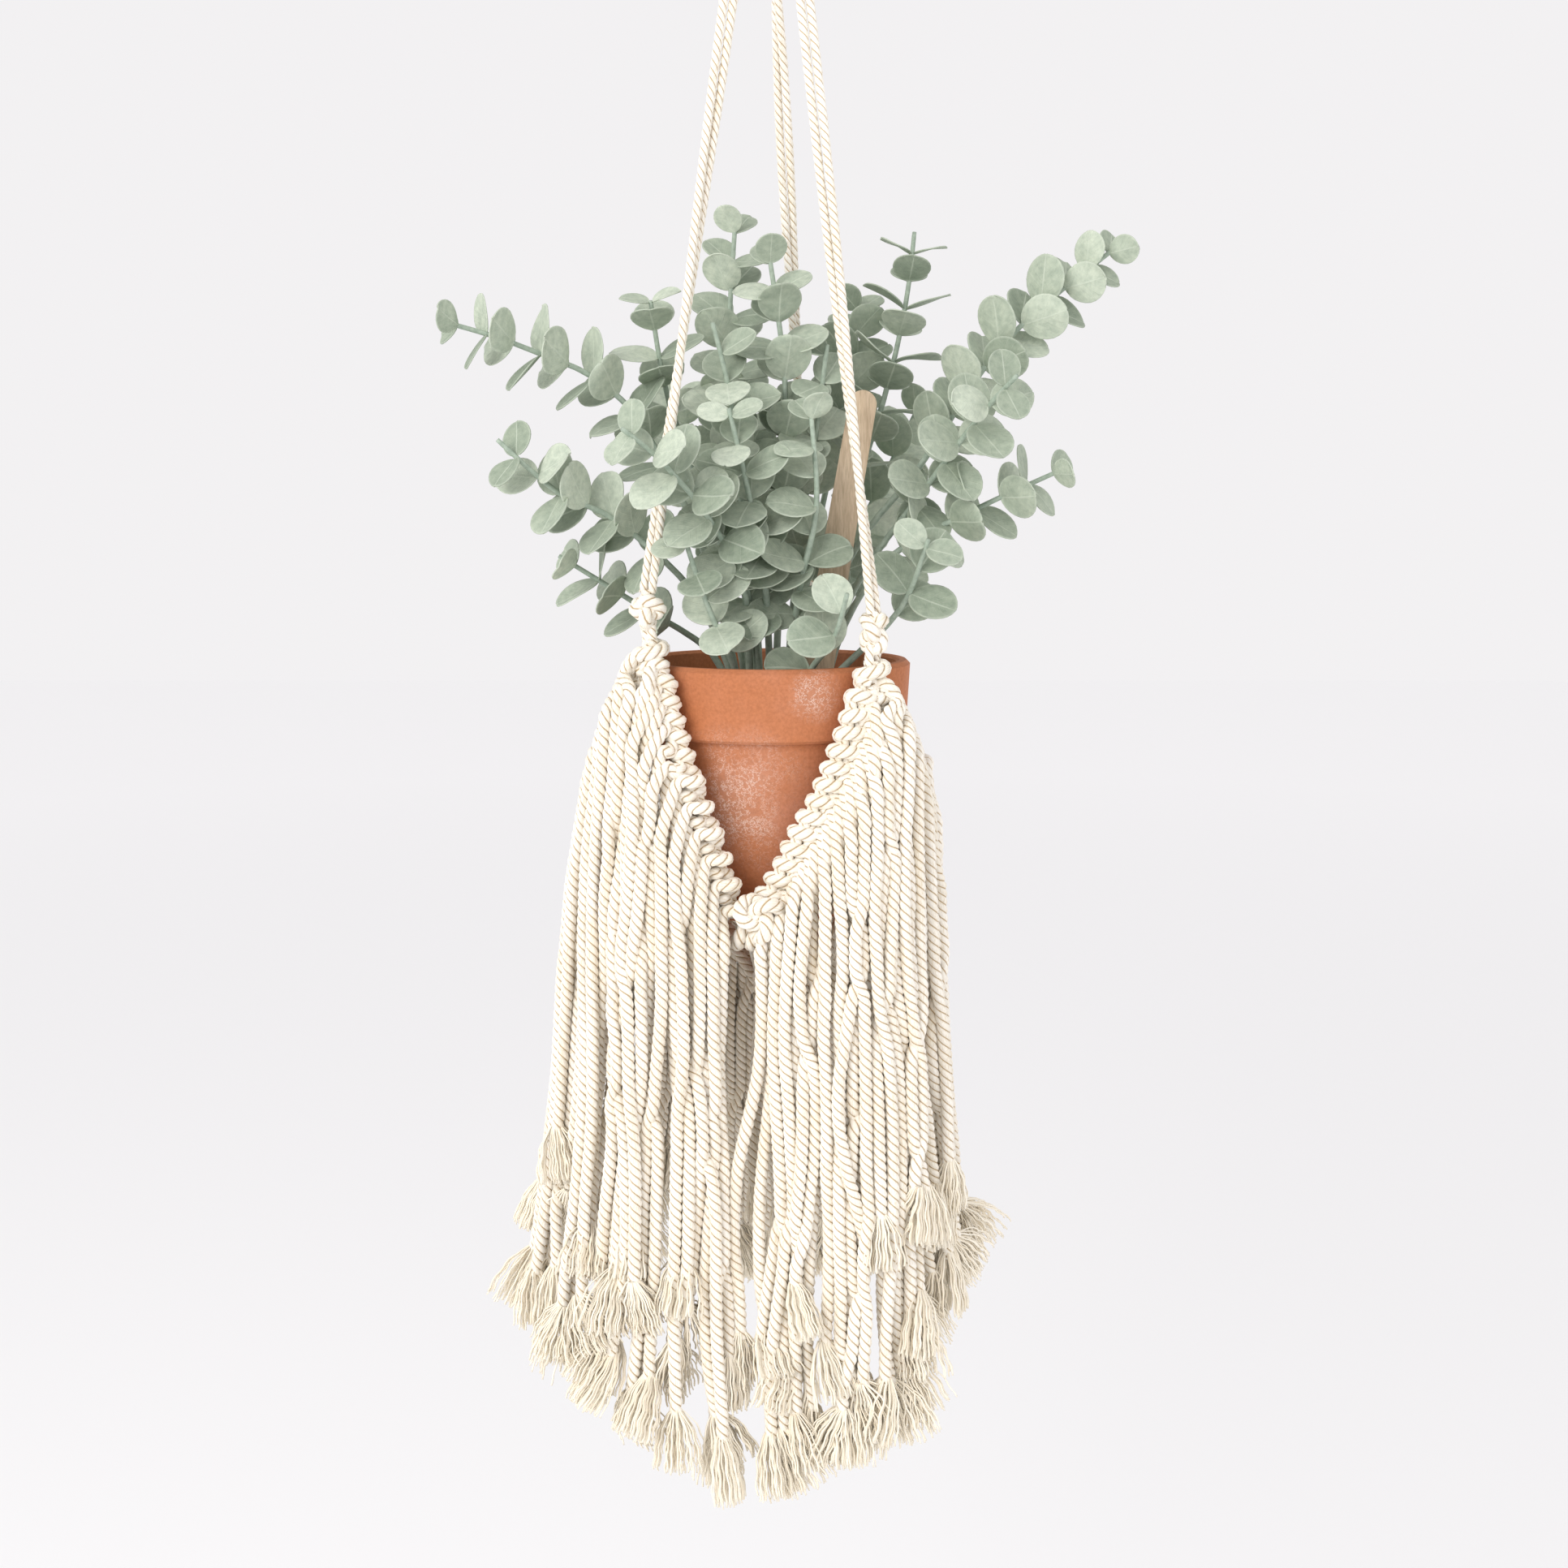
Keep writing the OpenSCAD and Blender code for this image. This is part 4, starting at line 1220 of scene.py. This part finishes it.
def terracotta():
    """Unglazed clay with blotches, and patches of scratchy whitish salt."""
    look = Look("terracotta")
    place = look.place()
    blotch = look.noise(place, 24.0, 5.0)
    clays = [(0.32, (0.47, 0.165, 0.065)), (0.52, (0.50, 0.19, 0.09)), (0.72, (0.54, 0.23, 0.135))]
    clay = look.ramp(blotch, clays)
    grit = look.noise(place, 900.0, 3.0)
    fine = look.ramp(grit, [(0.3, (0.86, 0.84, 0.82)), (0.65, (1.05, 1.05, 1.05))])
    colour = look.mixed("MULTIPLY", 1.0, clay, fine)
    where = 0.0
    for middle, reach in SALT:
        away = look.add("ShaderNodeVectorMath", operation="DISTANCE")
        look.link(place, away.inputs[0])
        away.inputs[1].default_value = Vector(middle) * MM
        share = look.maths("DIVIDE", away.outputs["Value"], reach * MM)
        inside = look.ramp(share, [(0.35, (1, 1, 1)), (1.0, (0, 0, 0))])
        where = look.maths("MAXIMUM", inside, where)
    torn = look.noise(place, 46.0, 4.0)
    ragged = look.ramp(torn, [(0.36, (0, 0, 0)), (0.58, (1, 1, 1))])
    where = look.maths("MULTIPLY", where, ragged)
    hair = look.noise(place, 330.0, 4.0, 0.75)
    scratch = look.ramp(hair, [(0.455, (0, 0, 0)), (0.485, (1, 1, 1)), (0.515, (0, 0, 0))])
    salt = look.maths("MULTIPLY", where, scratch)
    haze = look.maths("MULTIPLY", where, 0.09)
    share = look.maths("MAXIMUM", look.maths("MULTIPLY", salt, 0.85), haze)
    colour = look.mixed("MIX", share, colour, (0.90, 0.74, 0.66))
    look.coloured(colour)
    look.roughened(blotch, (0.3, 0.78), (0.7, 0.92))
    look.plain("Specular IOR Level", 0.25)
    height = look.maths("ADD", grit, look.maths("MULTIPLY", salt, 0.6))
    look.bumped(height, 0.35, 0.0003)
    return look.material


def soil_look():
    look = Look("potting_soil")
    place = look.place()
    lumps = look.noise(place, 300.0, 6.0, 0.7)
    browns = [(0.3, (0.012, 0.008, 0.005)), (0.6, (0.06, 0.036, 0.02)), (0.8, (0.14, 0.09, 0.05))]
    look.coloured(lumps, browns)
    look.roughened(lumps, (0.3, 1), (0.8, 0.8))
    look.bumped(lumps, 1.0, 0.003)
    return look.material


def wood(name, pale, dark, scale):
    """Plain sanded wood. The scale stretches the grain along the piece."""
    look = Look(name)
    place = look.stretched(look.place(), scale)
    grain = look.noise(place, 1.0, 5.0, 0.6)
    fibre = look.noise(look.stretched(place, (4, 4, 2)), 1.0, 3.0)
    colour = look.ramp(grain, [(0.32, dark), (0.62, pale)])
    lines = look.ramp(fibre, [(0.35, (0.84, 0.82, 0.80)), (0.6, (1.04, 1.04, 1.04))])
    look.coloured(look.mixed("MULTIPLY", 1.0, colour, lines))
    look.roughened(fibre, (0.3, 0.72), (0.7, 0.55))
    look.bumped(fibre, 0.3, 0.0002)
    return look.material


dress("terracotta_pot", terracotta())
dress("potting_soil", soil_look())
dress("plant_stick", wood("stick_wood", (0.66, 0.52, 0.37), (0.52, 0.39, 0.26), (420, 420, 26)))
dress("hanging_ring", wood("ring_wood", (0.62, 0.42, 0.24), (0.46, 0.28, 0.14), (60, 420, 420)))

# ---- Floor and light, in metres ----

FLOOR_Z = -1.25
FLOOR_HALF = 9.0
LIT_POINT = (0, 0, -0.42)


def add_floor():
    mesh = bpy.data.meshes.new("floor")
    h = FLOOR_HALF
    corners = [(-h, -h, FLOOR_Z), (h, -h, FLOOR_Z), (h, h, FLOOR_Z), (-h, h, FLOOR_Z)]
    mesh.from_pydata(corners, [], [[0, 1, 2, 3]])
    look = Look("floor")
    away = look.add("ShaderNodeVectorMath", operation="LENGTH")
    look.link(look.place(), away.inputs[0])
    share = look.maths("DIVIDE", away.outputs["Value"], FLOOR_HALF)
    pale = look.ramp(share, [(0.15, (0.90, 0.90, 0.905)), (0.62, (0.985, 0.985, 0.99))])
    look.coloured(pale)
    look.plain("Roughness", 0.95)
    mesh.materials.append(look.material)
    floor = put("floor", mesh)


def add_area(name, at, size, energy, colour):
    data = bpy.data.lights.new(name, "AREA")
    data.size = size
    data.energy = energy
    data.color = colour
    light = put(name, data)
    light.location = at
    light.rotation_euler = (Vector(LIT_POINT) - Vector(at)).to_track_quat("-Z", "Y").to_euler()


def add_world():
    world = bpy.data.worlds.new("studio")
    world.use_nodes = True
    background = world.node_tree.nodes["Background"]
    background.inputs["Color"].default_value = (0.96, 0.945, 0.955, 1)
    background.inputs["Strength"].default_value = 0.93
    bpy.context.scene.world = world


add_floor()
add_world()
add_area("key", (-1.1, -1.5, 0.35), 1.3, 24, (1, 0.985, 0.96))
add_area("fill", (1.5, -0.9, -0.1), 1.2, 4, (1, 0.99, 0.98))
bpy.context.scene.view_settings.view_transform = "Standard"
